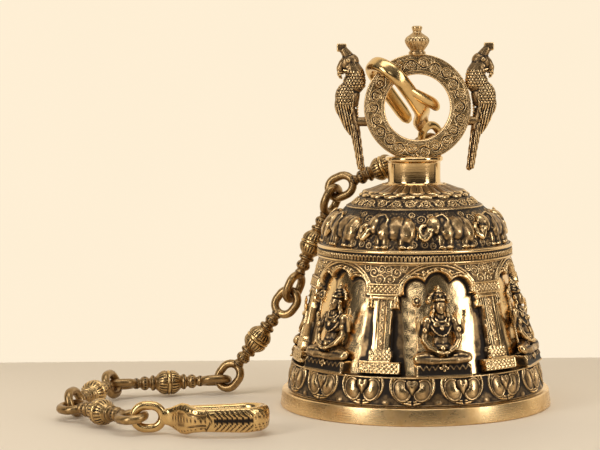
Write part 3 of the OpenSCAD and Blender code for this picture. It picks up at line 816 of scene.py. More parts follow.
def bird_form():
    """A crested bird with its breast to the ring: x away from the ring, z up; scales are cut later."""
    clay = Clay()
    oval, limb = clay.oval, clay.limb
    oval((10.2, 0, 257.4), (7.4, 5.4, 6.6), (0, 0.5, 0), 3)
    limb([(15.2, 0, 257.0), (17.6, 0, 253.0), (17.8, 0, 248.5), (16.6, 0, 245.4)], [3.2, 2.6, 1.7, 0.8], 12)
    limb([(14.0, 0, 252.0), (15.2, 0, 249.4)], [1.9, 1.0], 10)
    limb([(11.6, 0, 262.5), (14.2, 0, 266.2)], [4.0, 3.2], 12)
    clay.block((16.0, 0, 268.4), (7.4, 4.6, 6.2), 0.8)
    limb([(8.8, 0, 254.0), (6.0, 0, 248.6), (5.4, 0, 242.0)], [6.4, 7.2, 7.4], 18)
    oval((7.2, 0, 241.6), (8.2, 7.0, 8.8), (0, -0.2, 0), 3)
    oval((12.0, 0, 232.0), (9.4, 6.9, 11.0), (0, -0.15, 0), 3)
    oval((14.6, 0, 225.0), (7.2, 5.8, 9.6), (0, 0.12, 0), 3)
    limb([(14.0, 0, 219.0), (11.6, 0, 209.6), (9.8, 0, 203.6)], [5.2, 3.4, 1.2], 14)
    limb([(10.6, 0, 222.0), (7.6, 0, 213.0), (6.2, 0, 208.0)], [4.6, 3.8, 3.2], 14)
    for side in (-1, 1):
        oval((13.0, side * 4.4, 231.0), (6.2, 2.6, 10.2), (0, -0.1, 0), 3)
        oval((14.8, side * 3.8, 219.0), (3.6, 2.0, 9.6), (0, 0.2, 0), 3)
        limb([(9.4, side * 5.5, 240.0), (7.6, side * 5.9, 231.0), (9.0, side * 5.4, 221.0),
              (11.0, side * 4.0, 211.0)], 0.7, 8)
        oval((11.4, side * 5.2, 258.8), (1.7, 0.9, 1.7))
        limb([(6.6, side * 5.6, 252.6), (10.6, side * 5.6, 250.8), (15.0, side * 3.6, 251.8)], 0.7, 8)
    for k in range(13):
        t = k / 12
        x = 2.6 + 1.2 * math.sin(math.pi * t) + 2.4 * t
        oval((x - 0.6, 0, 240 - 27 * t), (1.25, 1.5, 1.15), fine=1)
    limb([(6.0, 1.6, 212.0), (3.4, 1.8, 194.0), (1.2, 1.8, 177.6)], [3.0, 2.5, 2.2], 12)
    limb([(8.6, -1.6, 210.0), (5.4, -1.6, 193.0), (3.2, -1.4, 178.6)], [2.6, 2.1, 1.8], 12)
    obj = clay.melted("bird_form", 0.42, 2)
    points = vertex_array(obj.data)
    normals = column(obj.data.vertices, "normal")
    x, z = points[:, 0], points[:, 2]
    row = z / 2.1
    shift = np.where(np.floor(row) % 2 == 0, 0.0, 0.5)
    cell_u, cell_v = (x / 2.3 + shift) % 1 - 0.5, row % 1
    scale = np.hypot(cell_u * 1.1, cell_v - 0.2) - 0.52
    scales = 0.28 - 0.55 * groove(scale, 0.13)
    neck = (z > 238) & (z < 251)
    shoulder = (z > 226) & (z <= 238) & (x > 7.8) & (np.abs(points[:, 1]) > 2.5)
    quill = np.sin((x - (z - 226) * 0.22) * TAU / 1.9)
    wing = (z <= 226) & (z > 203) & (x > 8.5) & (np.abs(points[:, 1]) > 1.2)
    tail = z < 206
    stripes = np.sin((x + (z - 206) * 0.14) * TAU / 1.7)
    cut = (np.where(neck | shoulder, scales, 0) + np.where(wing, 0.3 * quill, 0)
           + np.where(tail, 0.16 * stripes, 0))
    set_vertices(obj.data, points + normals * cut[:, None])
    shade_raised(obj, 10)
    return obj


# ---------------------------------------------------------------- ring, hooks and links

def vine_height(angle, rho, inner, outer):
    """Engraved scroll vine between double border lines on the face of the crown ring."""
    count = 11
    mid = (inner + outer) / 2 + 0.3
    pitch = TAU / (2 * count)
    place = np.round(angle / pitch)
    phi = angle - place * pitch
    flip = np.where(place % 2 == 0, 1.0, -1.0)
    u, v = phi * mid, (rho - mid) * flip
    stem = np.abs(v - 2.9 * np.cos(phi / pitch * math.pi)) / 1.25
    curl = spiral_gap(u, v, 0.0, -0.7, 3.5, 1.55, 1, 0.4)
    leaf = np.abs(oval_gap(u, v, 3.0, 3.0, 2.2, 1.0, 0.7))
    line = np.minimum(np.minimum(stem, curl), leaf + 0.15)
    cut = groove(line, 0.33)
    borders = (groove(rho - inner - 1.3, 0.28) + groove(rho - inner - 2.3, 0.24)
               + groove(rho - outer + 1.2, 0.28) + groove(rho - outer + 2.2, 0.24))
    return -0.55 * np.clip(cut + borders, 0, 1)


def ring_piece(name, centre, inner, outer, thick, flat_z):
    """The crown ring: engraved faces, softened edges, and a flat seat on the neck."""
    columns, faces, soft = 720, 56, 0.9
    rho_face = np.linspace(inner + soft, outer - soft, faces)
    corner = np.linspace(0, math.pi / 2, 4)
    far, near, side = outer - soft, inner + soft, thick / 2
    section = [(r, side) for r in rho_face]
    section += [(far + soft * math.sin(t), side - soft + soft * math.cos(t)) for t in corner[1:]]
    section += [(far + soft * math.cos(t), -side + soft - soft * math.sin(t)) for t in corner]
    section += [(r, -side) for r in rho_face[::-1][1:]]
    section += [(near - soft * math.sin(t), -side + soft - soft * math.cos(t)) for t in corner[1:]]
    section += [(near - soft * math.cos(t), side - soft + soft * math.sin(t)) for t in corner]
    section = np.array(section)
    a, rho = np.meshgrid(circle(columns), section[:, 0], indexing="ij")
    depth = np.broadcast_to(section[:, 1], a.shape)
    cut = np.where(np.abs(depth) > side - 1e-6, vine_height(a, rho, inner, outer), 0)
    depth = depth + np.sign(depth) * cut
    points = np.stack([centre[0] + rho * np.cos(a), -depth, centre[2] + rho * np.sin(a)], -1)
    points[..., 2] = np.maximum(points[..., 2], flat_z)
    return grid_object(name, points, 0.56 + cut * 0.95)


def eye_piece(x0, flat):
    """Round bar bent to an oval eye; flat is the axis along the eye's width (1 for Y, 2 for Z)."""
    bar, steps = EYE_BAR / 2, 20
    centre, normal = [], []
    for start, shift in ((-math.pi / 2, EYE_STRAIGHT), (math.pi / 2, -EYE_STRAIGHT)):
        for t in np.linspace(start, start + math.pi, steps):
            centre.append((x0 + shift + EYE_BEND * math.cos(t), EYE_BEND * math.sin(t)))
            normal.append((math.cos(t), math.sin(t)))
    centre, normal, a = np.array(centre), np.array(normal), circle(20)
    lump = 1 + 0.02 * np.sin(3 * np.arange(len(centre)))[:, None]
    ring = centre[:, None, :] + normal[:, None, :] * (bar * np.cos(a) * lump)[..., None]
    across = np.broadcast_to(bar * np.sin(a), ring.shape[:2])
    order = [ring[..., 0], ring[..., 1], across] if flat == 1 else [ring[..., 0], across, ring[..., 1]]
    return grid_object("eye", np.stack(order, -1), np.full(ring.shape[:2], EVEN_TONE))


def joined(name, objects):
    """One mesh object from several."""
    work = bmesh.new()
    for obj in objects:
        work.from_mesh(obj.data)
    mesh = bpy.data.meshes.new(name)
    work.to_mesh(mesh)
    work.free()
    for obj in objects:
        old = obj.data
        bpy.data.objects.remove(obj)
        bpy.data.meshes.remove(old)
    return new_object(name, mesh)


def link_form():
    """A chain link along X: a turned baluster with engraved rows between two oval eyes."""
    half = LINK_BODY
    outline = [(x - half, r) for x, r in (
        (0, 3.2), (1.6, 4.2), (3.2, 4.3), (4.6, 3.5), (5.6, 3.4), (7.0, 4.9), (9.0, 5.5), (11.0, 4.9),
        (12.2, 3.9), (13.4, 4.1), (14.2, 5.6), (15.6, 6.2), (16.8, 5.5), (17.4, 4.9), (18.2, 5.4))]
    outline += [(-7.0, 7.6), (-4.6, 9.0), (-2.2, 9.3), (-1.4, 8.9), (-0.7, 9.4), (0, 9.5)]
    outline += [(-x, r) for x, r in outline[:-1][::-1]]
    line = resampled(smooth_profile(outline, 4), 132)
    x, a = np.meshgrid(line[:, 0], circle(72), indexing="ij")
    bulb = (np.abs(x) > 2.4) & (np.abs(x) < 7.6)
    cut = 0.42 * groove(((a / TAU * 22) % 1) - 0.5, 0.16) * bulb
    knob = (np.abs(x) > half - 11.2) & (np.abs(x) < half - 6.8)
    dots = np.exp(-(((((a / TAU * 15) % 1) - 0.5) * 3.0) ** 2 + (np.abs(x) - half + 9.0) ** 2) / 0.5)
    cut = cut + 0.4 * dots * knob
    for at in (half - 2.6, half - 15.6, 1.5):
        cut = cut + 0.3 * groove(np.abs(x) - at, 0.35)
    r = line[:, 1:2] - cut
    raised = LINK_TONE - cut * CUT_TONE + 0.035 * (line[:, 1:2] - 6.0)
    body = grid_object("body", np.stack([x, r * np.cos(a), r * np.sin(a)], -1), raised, close_u=False)
    return joined("link_form", [body, eye_piece(-LINK_EYE, 1), eye_piece(LINK_EYE, 1)])


def hook_form(smooth):
    """A hook along X: an eye, a flared engraved body, and a leg bent back on itself."""
    path = [(HOOK_NECK - 3 + 3 * t, 0.0) for t in np.linspace(0, 1, 8, endpoint=False)]
    for t in np.linspace(0, 1, 22, endpoint=False):
        path.append((HOOK_NECK + (HOOK_SHANK - HOOK_NECK) * t, -HOOK_LEG * ease(t)))
    path.append((HOOK_SHANK, -HOOK_LEG))
    path += [(HOOK_BEND + HOOK_LEG * math.cos(t), HOOK_LEG * math.sin(t))
             for t in np.linspace(-math.pi / 2, math.pi / 2, 36, endpoint=False)]
    path += [(HOOK_BEND, HOOK_LEG), (HOOK_TIP, HOOK_LEG)]
    path = resampled(np.array(path), 300)
    ahead, s = unit(np.gradient(path, axis=0)), run_along(path)
    total = s[-1]
    keys = [0, 5, 10, 16, 21, 27, 34, 44, 62, 76, 96, 118, total - 12, total - 5, total - 1.2, total]
    if smooth:
        halves = [5.2, 6.2, 7.4, 8.4, 8.2, 7.0, 6.4, 5.9, 5.7, 5.7, 5.6, 5.5, 5.3, 4.6, 2.8, 0.8]
    else:
        halves = [5.2, 6.4, 8.6, 10.9, 10.8, 9.0, 7.9, 8.2, 8.7, 8.6, 7.6, 6.0, 4.9, 4.2, 2.6, 0.8]
    width = np.interp(s, keys, halves)
    thick = np.interp(s, [0, 12, 30, total - 12, total - 5, total - 1.2, total],
                      [3.3, 3.7, 3.8, 3.8, 3.4, 2.2, 0.7])
    c, sn = np.cos(circle(56)), np.sin(circle(56))
    shape = np.stack([np.sign(c) * np.abs(c) ** 0.62, np.sign(sn) * np.abs(sn) ** 0.8], -1)
    across = shape[None, :, 0] * width[:, None]
    outwards = shape[None, :, 1] * thick[:, None]
    face = np.clip(np.abs(shape[None, :, 1]) * 1.4 - 0.5, 0, 1)
    along, off = s[:, None], np.abs(across)
    leaf = (along > 42) & (along < 68) & (off < width[:, None] - 0.9)
    vein = step(np.sin((along + off * 0.95) * TAU / 3.5) - 0.55, 0.5)
    cut = np.where(leaf, 0.45 * vein + 0.45 * groove(off, 0.4), 0)
    body = (along > 9) & (along < 37)
    rows = np.minimum(np.abs(off - 0.2), np.abs(off - width[:, None] + 2.4))
    dots = np.exp(-((((along / 2.9) % 1 - 0.5) * 2.9) ** 2 + rows ** 2) / 0.22)
    lines = groove(off - 3.1, 0.3) + groove(off - 4.5, 0.3)
    cut = cut + np.where(body, 0.55 * dots + 0.4 * lines * (along > 12), 0)
    cut = cut + 0.5 * groove(along - 40.5 + off * 0.55, 0.45)
    fan = step(np.sin(across * TAU / 1.9) - 0.5, 0.4) * (np.sin(along * 1.9 + across) > -0.3)
    cut = cut + np.where((along > 69) & (along < 88), 0.3 * fan, 0)
    cut = cut * (0.0 if smooth else 1.0) * face
    outwards = outwards - np.sign(outwards) * cut
    x = path[:, None, 0] + ahead[:, None, 1] * outwards
    y = path[:, None, 1] - ahead[:, None, 0] * outwards
    parts = [grid_object("bar", np.stack([x, y, across], -1), LINK_TONE - cut * CUT_TONE, close_u=False), eye_piece(0, 2)]
    if smooth:
        parts.append(spur_form())
    return joined("hook_form", parts)


def spur_form():
    """The rounded finger that stands off the front leg of the upper hook."""
    keys = ((58, -17.6, -0.5, 2.6), (50, -18.6, -2.4, 4.0), (42, -19.4, -5.4, 4.4), (34, -19.6, -8.6, 4.3),
            (29, -19.3, -9.4, 3.5), (26.4, -19.1, -9.4, 2.0), (25.4, -19.0, -9.3, 0.4))
    line = resampled(smooth_profile(keys, 8), 60)
    run = unit(np.gradient(line[:, :3], axis=0))
    side = unit(np.cross(run, (0, 1, 0)))
    up = np.cross(side, run)
    a = circle(28)[None, :, None]
    points = (line[:, None, :3] + (side[:, None] * np.cos(a) + up[:, None] * 0.75 * np.sin(a))
              * line[:, 3][:, None, None])
    return grid_object("spur", points, np.full(points.shape[:2], 0.7), close_u=False)


def solid_axes(node):
    """Centre and main axes of a node's solid, from its mesh, longest first; metres."""
    mesh = frame["nodes"][node].data
    mesh.calc_loop_triangles()
    points = vertex_array(mesh)
    tri = points[column(mesh.loop_triangles, "vertices", 3, np.int32)]

    def spokes(origin):
        a, b, c = (tri[:, k] - origin for k in range(3))
        return a, b, c, np.einsum("ij,ij->i", a, np.cross(b, c)) / 6
    origin = points.mean(0)
    a, b, c, volume = spokes(origin)
    centre = origin + (volume[:, None] * (a + b + c) / 4).sum(0) / volume.sum()
    a, b, c, volume = spokes(centre)
    total = a + b + c
    spread = sum(np.einsum("i,ij,ik->jk", volume, p, p) for p in (a, b, c, total)) / 20
    return centre, np.linalg.eigh(spread)[1][:, ::-1].T


def frame_matrix(origin, along, across):
    """Matrix that takes a form with X along and Y across to its place; the origin is in millimetres."""
    x = Vector(along).normalized()
    z = x.cross(Vector(across)).normalized()
    y = z.cross(x)
    place = Matrix((x, y, z)).transposed().to_4x4()
    place.translation = Vector(origin) * MM
    return place


def link_place(node):
    """Places a link on its solid's centre and long axis."""
    centre, axes = solid_axes(node)
    return frame_matrix(centre / MM, axes[0], axes[1])


def hook_place(node, bend):
    """A hook's place: its bend's centre is known, its eye is the point farthest from it."""
    points = vertex_array(frame["nodes"][node].data) / MM
    bend = np.asarray(bend, float) / MM
    away = np.linalg.norm(points - bend, axis=1)
    end = points[away > away.max() - 0.25].mean(0)
    along = (bend - end) / np.linalg.norm(bend - end)
    _, axes = solid_axes(node)
    flat = min(axes, key=lambda axis: np.ptp(points @ axis))
    origin = bend - along * HOOK_BEND
    across = np.cross(flat, along)
    side = ((points - origin) @ across)[np.abs((points - origin) @ along - HOOK_TIP - 8) < 6]
    if side.max() < -side.min():
        across = -across
    return frame_matrix(origin, along, across)


def eased(profile, cut=0.5):
    """Rounds the corners of a closed profile, keeping its straight runs."""
    p = np.asarray(profile, float)
    out = []
    for k in range(len(p)):
        a, b, c = p[k - 1], p[k], p[(k + 1) % len(p)]
        start = b + (a - b) * min(0.45, cut / np.linalg.norm(a - b))
        end = b + (c - b) * min(0.45, cut / np.linalg.norm(c - b))
        for t in (0, 0.25, 0.5, 0.75, 1):
            out.append((1 - t) ** 2 * start + 2 * t * (1 - t) * b + t * t * end)
    return np.array(out)


# ---------------------------------------------------------------- finishes

class Value:
    """A node socket that takes part in Python expressions."""

    def __init__(self, build, socket):
        self.build, self.socket = build, socket

    def _math(self, operation, a, b):
        return self.build.add("ShaderNodeMath", {"operation": operation}, {0: a, 1: b})

    def __add__(self, other):
        return self._math("ADD", self, other)

    def __sub__(self, other):
        return self._math("SUBTRACT", self, other)

    def __rsub__(self, other):
        return self._math("SUBTRACT", other, self)

    def __mul__(self, other):
        return self._math("MULTIPLY", self, other)

    __radd__, __rmul__ = __add__, __mul__


class Finish:
    """Builds one material's nodes."""

    def __init__(self, name):
        self.material = bpy.data.materials.new(name)
        self.material.use_nodes = True
        self.tree = self.material.node_tree
        self.shader = self.tree.nodes["Principled BSDF"]
        self.where = self.add("ShaderNodeTexCoord", out="Object")

    def add(self, kind, settings=None, values=None, out=0):
        """A node of the given kind; its settings come first, then its input values or links."""
        node = self.tree.nodes.new(kind)
        for key, value in (settings or {}).items():
            setattr(node, key, value)
        for key, value in (values or {}).items():
            self.put(node.inputs[key], value)
        return Value(self, node.outputs[out])

    def put(self, socket, value):
        if isinstance(value, Value):
            self.tree.links.new(value.socket, socket)
        elif hasattr(value, "__len__") and len(value) == 3 and socket.type == "RGBA":
            socket.default_value = (*value, 1)
        else:
            socket.default_value = value

    def noise(self, scale, detail, stretch=None):
        where = self.where
        if stretch is not None:
            where = self.add("ShaderNodeMapping", None, {"Vector": where, "Scale": stretch})
        return self.add("ShaderNodeTexNoise", None, {"Vector": where, "Scale": scale, "Detail": detail,
                                                     "Roughness": 0.6})

    def ramp(self, value, low, high):
        return self.add("ShaderNodeMapRange", {"interpolation_type": "SMOOTHSTEP"}, {0: value, 1: low, 2: high})

    def mix(self, factor, a, b):
        return self.add("ShaderNodeMix", {"data_type": "RGBA"}, {0: factor, 6: a, 7: b}, out=2)

    def bump(self, height, strength, distance):
        return self.add("ShaderNodeBump", None, {"Height": height, "Strength": strength, "Distance": distance})

    def shade(self, **values):
        for key, value in values.items():
            self.put(self.shader.inputs[key.replace("_", " ").title()], value)
        return self.material


def brass_finish(name, lift, polish, worn, tint=None, relief=True):
    """Cast brass: dark film plus painted shade in the hollows, toned middle, rubbed high spots, and fine
    scratches.
    """
    f, colours = Finish(name), bpy.context.scene.brass_colours
    raised = f.add("ShaderNodeAttribute", {"attribute_name": "raised"}, out="Fac") if relief else None
    cloud = f.noise(42.0, 4.0)
    spots = f.noise(420.0, 3.0)
    fine = f.noise(2600.0, 2.0)
    swirl = f.noise(900.0, 2.0, (1.0, 1.0, 0.12))
    level = (cloud - 0.5) * (0.55 * worn) + (spots - 0.5) * (0.5 * worn) + lift
    level = level + (raised if relief else EVEN_TONE)
    low = f.ramp(level, 0.38, 0.62)
    high = f.ramp(level, 0.57, 0.84)
    bright = tint or tuple(colours.rubbed)
    middle = tuple(0.7 * m + 0.3 * b * 0.5 for m, b in zip(colours.brass, bright))
    # The dark end is patina plus painted shade in the hollows; the bright end is rubbed brass.
    colour = f.mix(high, f.mix(low, tuple(colours.patina_and_shade), middle), bright)
    roughness = (0.52 - low * (0.10 + 0.12 * polish) - high * (0.06 + 0.14 * polish)
                 + (fine - 0.5) * 0.10 + (cloud - 0.5) * 0.10)
    height = fine * 0.5 + spots * 0.7 + swirl * 0.5
    normal = f.bump(height, 0.10 + 0.10 * worn, 0.0004)
    return f.shade(base_color=colour, roughness=roughness, metallic=low * 0.45 + 0.55, normal=normal)


def polished_finish(name, rough):
    """Turned and polished brass with faint turning lines and a few dull clouds."""
    f = Finish(name)
    cloud = f.noise(55.0, 4.0)
    lines = f.noise(700.0, 2.0, (0.05, 0.05, 1.0))
    fine = f.noise(1800.0, 2.0)
    dull = f.ramp(cloud, 0.46, 0.74)
    bright = tuple(bpy.context.scene.brass_colours.rubbed)
    deep = tuple(c * n for c, n in zip(bright, (0.74, 0.66, 0.52)))
    colour = f.mix(dull, bright, deep)
    roughness = dull * 0.14 + lines * 0.10 + (rough - 0.04)
    normal = f.bump(lines * 0.6 + fine * 0.4, 0.10, 0.0003)
    return f.shade(base_color=colour, roughness=roughness, metallic=1.0, normal=normal)


def iron_finish(name):
    """Dull dark iron with rust-brown patches."""
    f = Finish(name)
    cloud, fine = f.noise(90.0, 5.0), f.noise(1200.0, 3.0)
    rust = f.ramp(cloud, 0.50, 0.68)
    colour = f.mix(rust, (0.055, 0.050, 0.047), (0.13, 0.060, 0.028))
    return f.shade(base_color=colour, roughness=rust * 0.28 + fine * 0.12 + 0.38, metallic=1.0 - rust * 0.7,
                   normal=f.bump(fine * 0.6 + cloud * 0.4, 0.35, 0.0005))


def stage_finish(name, colour, mottled, glow):
    """Pale matt surface, or one that glows evenly."""
    f = Finish(name)
    tone = f.mix(f.noise(3.0, 2.0), colour, tuple(c * mottled for c in colour))
    if glow:
        return f.shade(base_color=(0.02, 0.02, 0.02), roughness=1.0, emission_color=tone,
                       emission_strength=glow)
    return f.shade(base_color=tone, roughness=0.64, normal=f.bump(f.noise(260.0, 2.0), 0.02, 0.0005))


def material(name):
    """The named finish, built when it is first asked for."""
    found = bpy.data.materials.get(name)
    if found:
        return found
    colours = bpy.context.scene.brass_colours
    bronze = tuple(colours.bronze)
    made = {
        "relief brass": (brass_finish, 0.0, 0.6, 0.5),
        "figure brass": (brass_finish, 0.01, 0.8, 0.35),
        "plain brass": (brass_finish, 0.0, 0.6, 0.5, None, False),
        "elephant brass": (brass_finish, 0.07, 0.7, 0.35),
        "rim brass": (polished_finish, 0.26),
        "mirror brass": (polished_finish, 0.10),
        "ring brass": (brass_finish, 0.27, 0.6, 0.6),
        "bird brass": (brass_finish, 0.08, 0.7, 0.5),
        "inside brass": (brass_finish, -0.12, 0.3, 0.9, None, False),
        "chain bronze": (brass_finish, 0.02, 0.6, 0.45, bronze),
        "hook bronze": (brass_finish, 0.17, 0.6, 0.45, bronze),
        "clapper brass": (brass_finish, 0.0, 0.5, 0.7, None, False),
        "dark iron": (iron_finish,),
        "table top": (stage_finish, tuple(colours.floor), 0.97, 0.0),
        "backdrop": (stage_finish, tuple(colours.backdrop), 0.985, 1.0),
    }
    finish, *values = made[name]
    return finish(name, *values)


def settled(obj, body, slot, finish, *nodes, sharp=None):
    """Gives a finished piece its material, its body and the nodes that it stands for."""
    obj.data.materials.clear()
    obj.data.materials.append(material(finish))
    if sharp:
        obj.data.set_sharp_from_angle(angle=math.radians(sharp))
    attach(obj, body)
    if nodes:
        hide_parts(*nodes)
    return obj


def carried(finish, *nodes):
    """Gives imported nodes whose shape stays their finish."""
    for node in nodes:
        mesh = frame["nodes"][node].data
        mesh.materials.clear()
        mesh.materials.append(material(finish))


# ---------------------------------------------------------------- operators

class BELL_OT_body(bpy.types.Operator):
    """Bell wall with its polished rim, the bead over the shoulder, and the hollow inside"""
    bl_idname = "temple_bell.body"
    bl_label = "Bell body"

    def execute(self, context):
        rim, top, shoulder = RIM_R, CROWN_Z, np.array(SHOULDER)
        rim_ring = [(rim - inset, z) for inset, z in (
            (9, 0.4), (8.4, 0), (0.7, 0), (0, 0.8), (1.4, 12.0), (2.2, 12.5), (5.0, 12.5), (6.6, 13.6),
            (8.5, 13.9), (10, 12.5))]
        settled(lathe("bell_rim", eased(rim_ring), 256), "bell", "bell_brass", "rim brass")
        bead = [(shoulder[-1][0] - 1.4 + 2.2 * math.cos(t), shoulder[-1][1] + 0.6 + 1.6 * math.sin(t))
                for t in np.linspace(-1.35, 1.45, 9)]
        outer = [(rim - 8.3, 13.4), (rim - 11.4, NICHE_FOOT - 0.6), (WALL_FOOT_R - 0.9, NICHE_FOOT + 0.4),
                 (WALL_TOP_R - 0.9, NICHE_TOP - 0.4), (rim - 31.5, NICHE_TOP + 0.6),
                 (rim - 31.5, CORNICE_TOP - 0.5), (shoulder[0][0] - 0.9, CORNICE_TOP + 0.4)]
        outer += [(r - 0.9, z - 0.3) for r, z in SHOULDER[1:]]
        crown = [(rim - 54, top - 15.2), (rim - 61.6, top - 8.9), (22.0, top - 0.4), (4.3, top - 0.4)]
        inner = [(4.3, top - 10), (22.5, top - 10), (39, top - 15.5), (46, top - 22), (61.5, top - 46),
                 (61.5, NICHE_TOP), (rim - 23, NICHE_FOOT), (rim - 10.2, 13.2)]
        wall = lathe("bell_wall", np.array(outer + bead + crown + inner), 256)
        mark_raised(wall.data, np.full(len(wall.data.vertices), EVEN_TONE))
        settled(wall, "bell", "bell_brass", "inside brass", "bell_shell", sharp=28)
        return {"FINISHED"}


class BELL_OT_bands(bpy.types.Operator):
    """Bands of cast relief: lotus petals, niches and pillars, cornice, shoulder, scrolls and crown"""
    bl_idname = "temple_bell.bands"
    bl_label = "Relief bands"

    def execute(self, context):
        sizes = context.scene.bell_sizes
        rim, top = RIM_R, CROWN_Z
        split = NICHE_FOOT + 51
        wall_r = WALL_FOOT_R + (WALL_TOP_R - WALL_FOOT_R) * (split - NICHE_FOOT) / (NICHE_TOP - NICHE_FOOT)
        niche = niche_relief(sizes, 6.0)
        for name, profile, height, rows, *nodes in (
                ("lotus_band", [(rim - 6.9, 13.5), (rim - 10.6, NICHE_FOOT - 0.2)], lotus_relief(sizes), 80,
                 "lotus_petals"),
                ("pillar_band", [(WALL_FOOT_R, NICHE_FOOT), (wall_r, split)], niche, 83, "pillars"),
                ("arch_band", [(wall_r, split), (WALL_TOP_R, NICHE_TOP)], niche, 83, "niche_arches"),
                ("cornice_band", [(rim - 30.2, NICHE_TOP + 0.1), (rim - 30.2, CORNICE_TOP - 0.4),
                                  (rim - 31.0, CORNICE_TOP), (rim - 32.3, CORNICE_TOP)], cornice_relief(), 40,
                 "cornice"),
                ("shoulder_band", smooth_profile(SHOULDER, 8), shoulder_relief(sizes), 76),
                ("scroll_band", [(rim - 53.5, top - 15.0), (rim - 61.0, top - 8.5)], scroll_relief(), 30),
                ("crown_band", [(rim - 61.0, top - 8.5), (rim - 67, top - 5.0), (22.2, top - 0.2)],
                 crown_relief(sizes), 60, "crown_petals")):
            band = relief_band(name, profile, height, rows, sizes.columns)
            settled(band, "bell", "relief_brass", "relief brass", *nodes, sharp=80)
        return {"FINISHED"}


class BELL_OT_figures(bpy.types.Operator):
    """Seated crowned figures in the niches"""
    bl_idname = "temple_bell.figures"
    bl_label = "Seated figures"

    def execute(self, context):
        sizes = context.scene.bell_sizes
        half = sizes.niches // 2
        for name, shift in (("figures_a", 0), ("figures_b", 1)):
            form = figure_form()
            turn = sizes.niche_turn + shift * TAU / sizes.niches
            ring = ring_of(name, form, half, turn, material("figure brass"))
            settled(ring, "bell", "relief_brass", "figure brass", "seated_figures")
        return {"FINISHED"}


class BELL_OT_elephants(bpy.types.Operator):
    """Elephants walking round the shoulder"""
    bl_idname = "temple_bell.elephants"
    bl_label = "Elephants"

    def execute(self, context):
        sizes = context.scene.bell_sizes
        ring = ring_of("elephant_row", elephant_form(), sizes.elephants, sizes.elephant_turn,
                       material("elephant brass"))
        settled(ring, "bell", "relief_brass", "elephant brass", "elephants")
        return {"FINISHED"}


class BELL_OT_crown(bpy.types.Operator):
    """Polished neck, engraved crown ring and ribbed finial"""
    bl_idname = "temple_bell.crown"
    bl_label = "Crown"

    def execute(self, context):
        low, high, neck = COLLAR_LO[2], COLLAR_HI[2], COLLAR_HI[0] - 1.6
        profile = [(3.0, low), (neck + 1.4, low), (neck + 1.5, low + 1.4), (neck + 0.2, low + 1.9),
                   (neck - 0.3, low + 3.0), (neck - 0.3, high - 4.6), (neck + 0.4, high - 3.9),
                   (neck + 1.3, high - 3.4), (neck + 1.6, high - 2.6), (neck + 1.6, high - 0.9),
                   (neck + 0.8, high), (3.0, high)]
        settled(lathe("neck", eased(profile), 160), "bell", "polished_brass", "mirror brass", "neck_collar")
        outer = (RING_HI[0] - RING_LO[0]) / 2
        centre = ((RING_LO[0] + RING_HI[0]) / 2, 0, RING_HI[2] - outer)
        ring = ring_piece("ring", centre, outer - RING_WIDTH, outer, RING_HI[1] - RING_LO[1], COLLAR_HI[2])
        settled(ring, "bell", "ring_brass", "ring brass", "crown_ring")
        foot, tip = FINIAL_LO[2] - 1.0, FINIAL_HI[2]
        shape = [(r, foot + z) for r, z in (
            (0.05, 0), (5.6, 0), (6.4, 1.6), (6.3, 2.8), (5.4, 3.8), (6.4, 5.4), (8.2, 8.0), (9.3, 11.0),
            (8.4, 13.4), (5.6, 15.6), (3.6, 17.0), (3.2, 18.0), (3.7, 19.4), (4.0, 21.2))]
        shape += [(3.4, tip - 0.4), (2.4, tip), (0.05, tip)]

        def ribs(angle, z):
            inside = np.exp(-((z - foot - 10.0) / 4.6) ** 4)
            return -0.55 * inside * np.abs(np.cos(angle * 8)) ** 8
        bulb = lathe("finial_bulb", smooth_profile(shape, 5), 240, ribs)
        bulb.data.transform(Matrix.Translation(((FINIAL_LO[0] + FINIAL_HI[0]) / 2 * MM, 0, 0)))
        shade_raised(bulb, 10)
        settled(bulb, "bell", "ring_brass", "ring brass", "finial")
        carried("plain brass", "bird_lugs")
        return {"FINISHED"}


class BELL_OT_birds(bpy.types.Operator):
    """The two crested birds at the sides of the ring"""
    bl_idname = "temple_bell.birds"
    bl_label = "Birds"

    def execute(self, context):
        for name, node in (("bird_a", "bird_left"), ("bird_b", "bird_right")):
            low, high = node_box(node)
            side = 1 if high[0] > 0 else -1
            edge = (high[0] if side > 0 else -low[0]) - BIRD_WIDTH
            bird = bird_form()
            bird.name = name
            place = Matrix.Translation((side * edge, 0, 0)) @ Matrix.Scale(side, 4, (1, 0, 0))
            placed(bird, place)
            turn_outwards(bird)
            settled(bird, "bell", "bird_brass", "bird brass", node)
        return {"FINISHED"}


class BELL_OT_clapper(bpy.types.Operator):
    """Clapper, and the staple that holds it"""
    bl_idname = "temple_bell.clapper"
    bl_label = "Clapper"

    def execute(self, context):
        carried("dark iron", "clapper_staple", "staple_nut")
        carried("clapper brass", "clapper_rod", "clapper_ball")
        return {"FINISHED"}


class BELL_OT_chain(bpy.types.Operator):
    """Chain of baluster links between two hooks"""
    bl_idname = "temple_bell.chain"
    bl_label = "Chain"

    def execute(self, context):
        sizes = context.scene.bell_sizes
        for k in range(1, sizes.links + 1):
            node = f"chain_link_{k}"
            link = placed(link_form(), link_place(node), 1.0)
            link.name = f"link_{k}"
            settled(link, node, "chain_bronze", "chain bronze", node, sharp=60)
        swing = next(j for j in frame["joints"] if j["child"] == "hook_upper")
        hung = next(m for m in frame["record"]["mounts"] if m["name"] == "hanging_hook")
        for node, bend in (("hook_upper", swing["pos_m"]), ("hook_lower", hung["pos_m"])):
            hook = placed(hook_form(node == "hook_upper"), hook_place(node, bend), 1.0)
            hook.name = node.replace("hook_", "hook_piece_")
            settled(hook, node, "chain_bronze", "hook bronze", node, sharp=60)
        return {"FINISHED"}


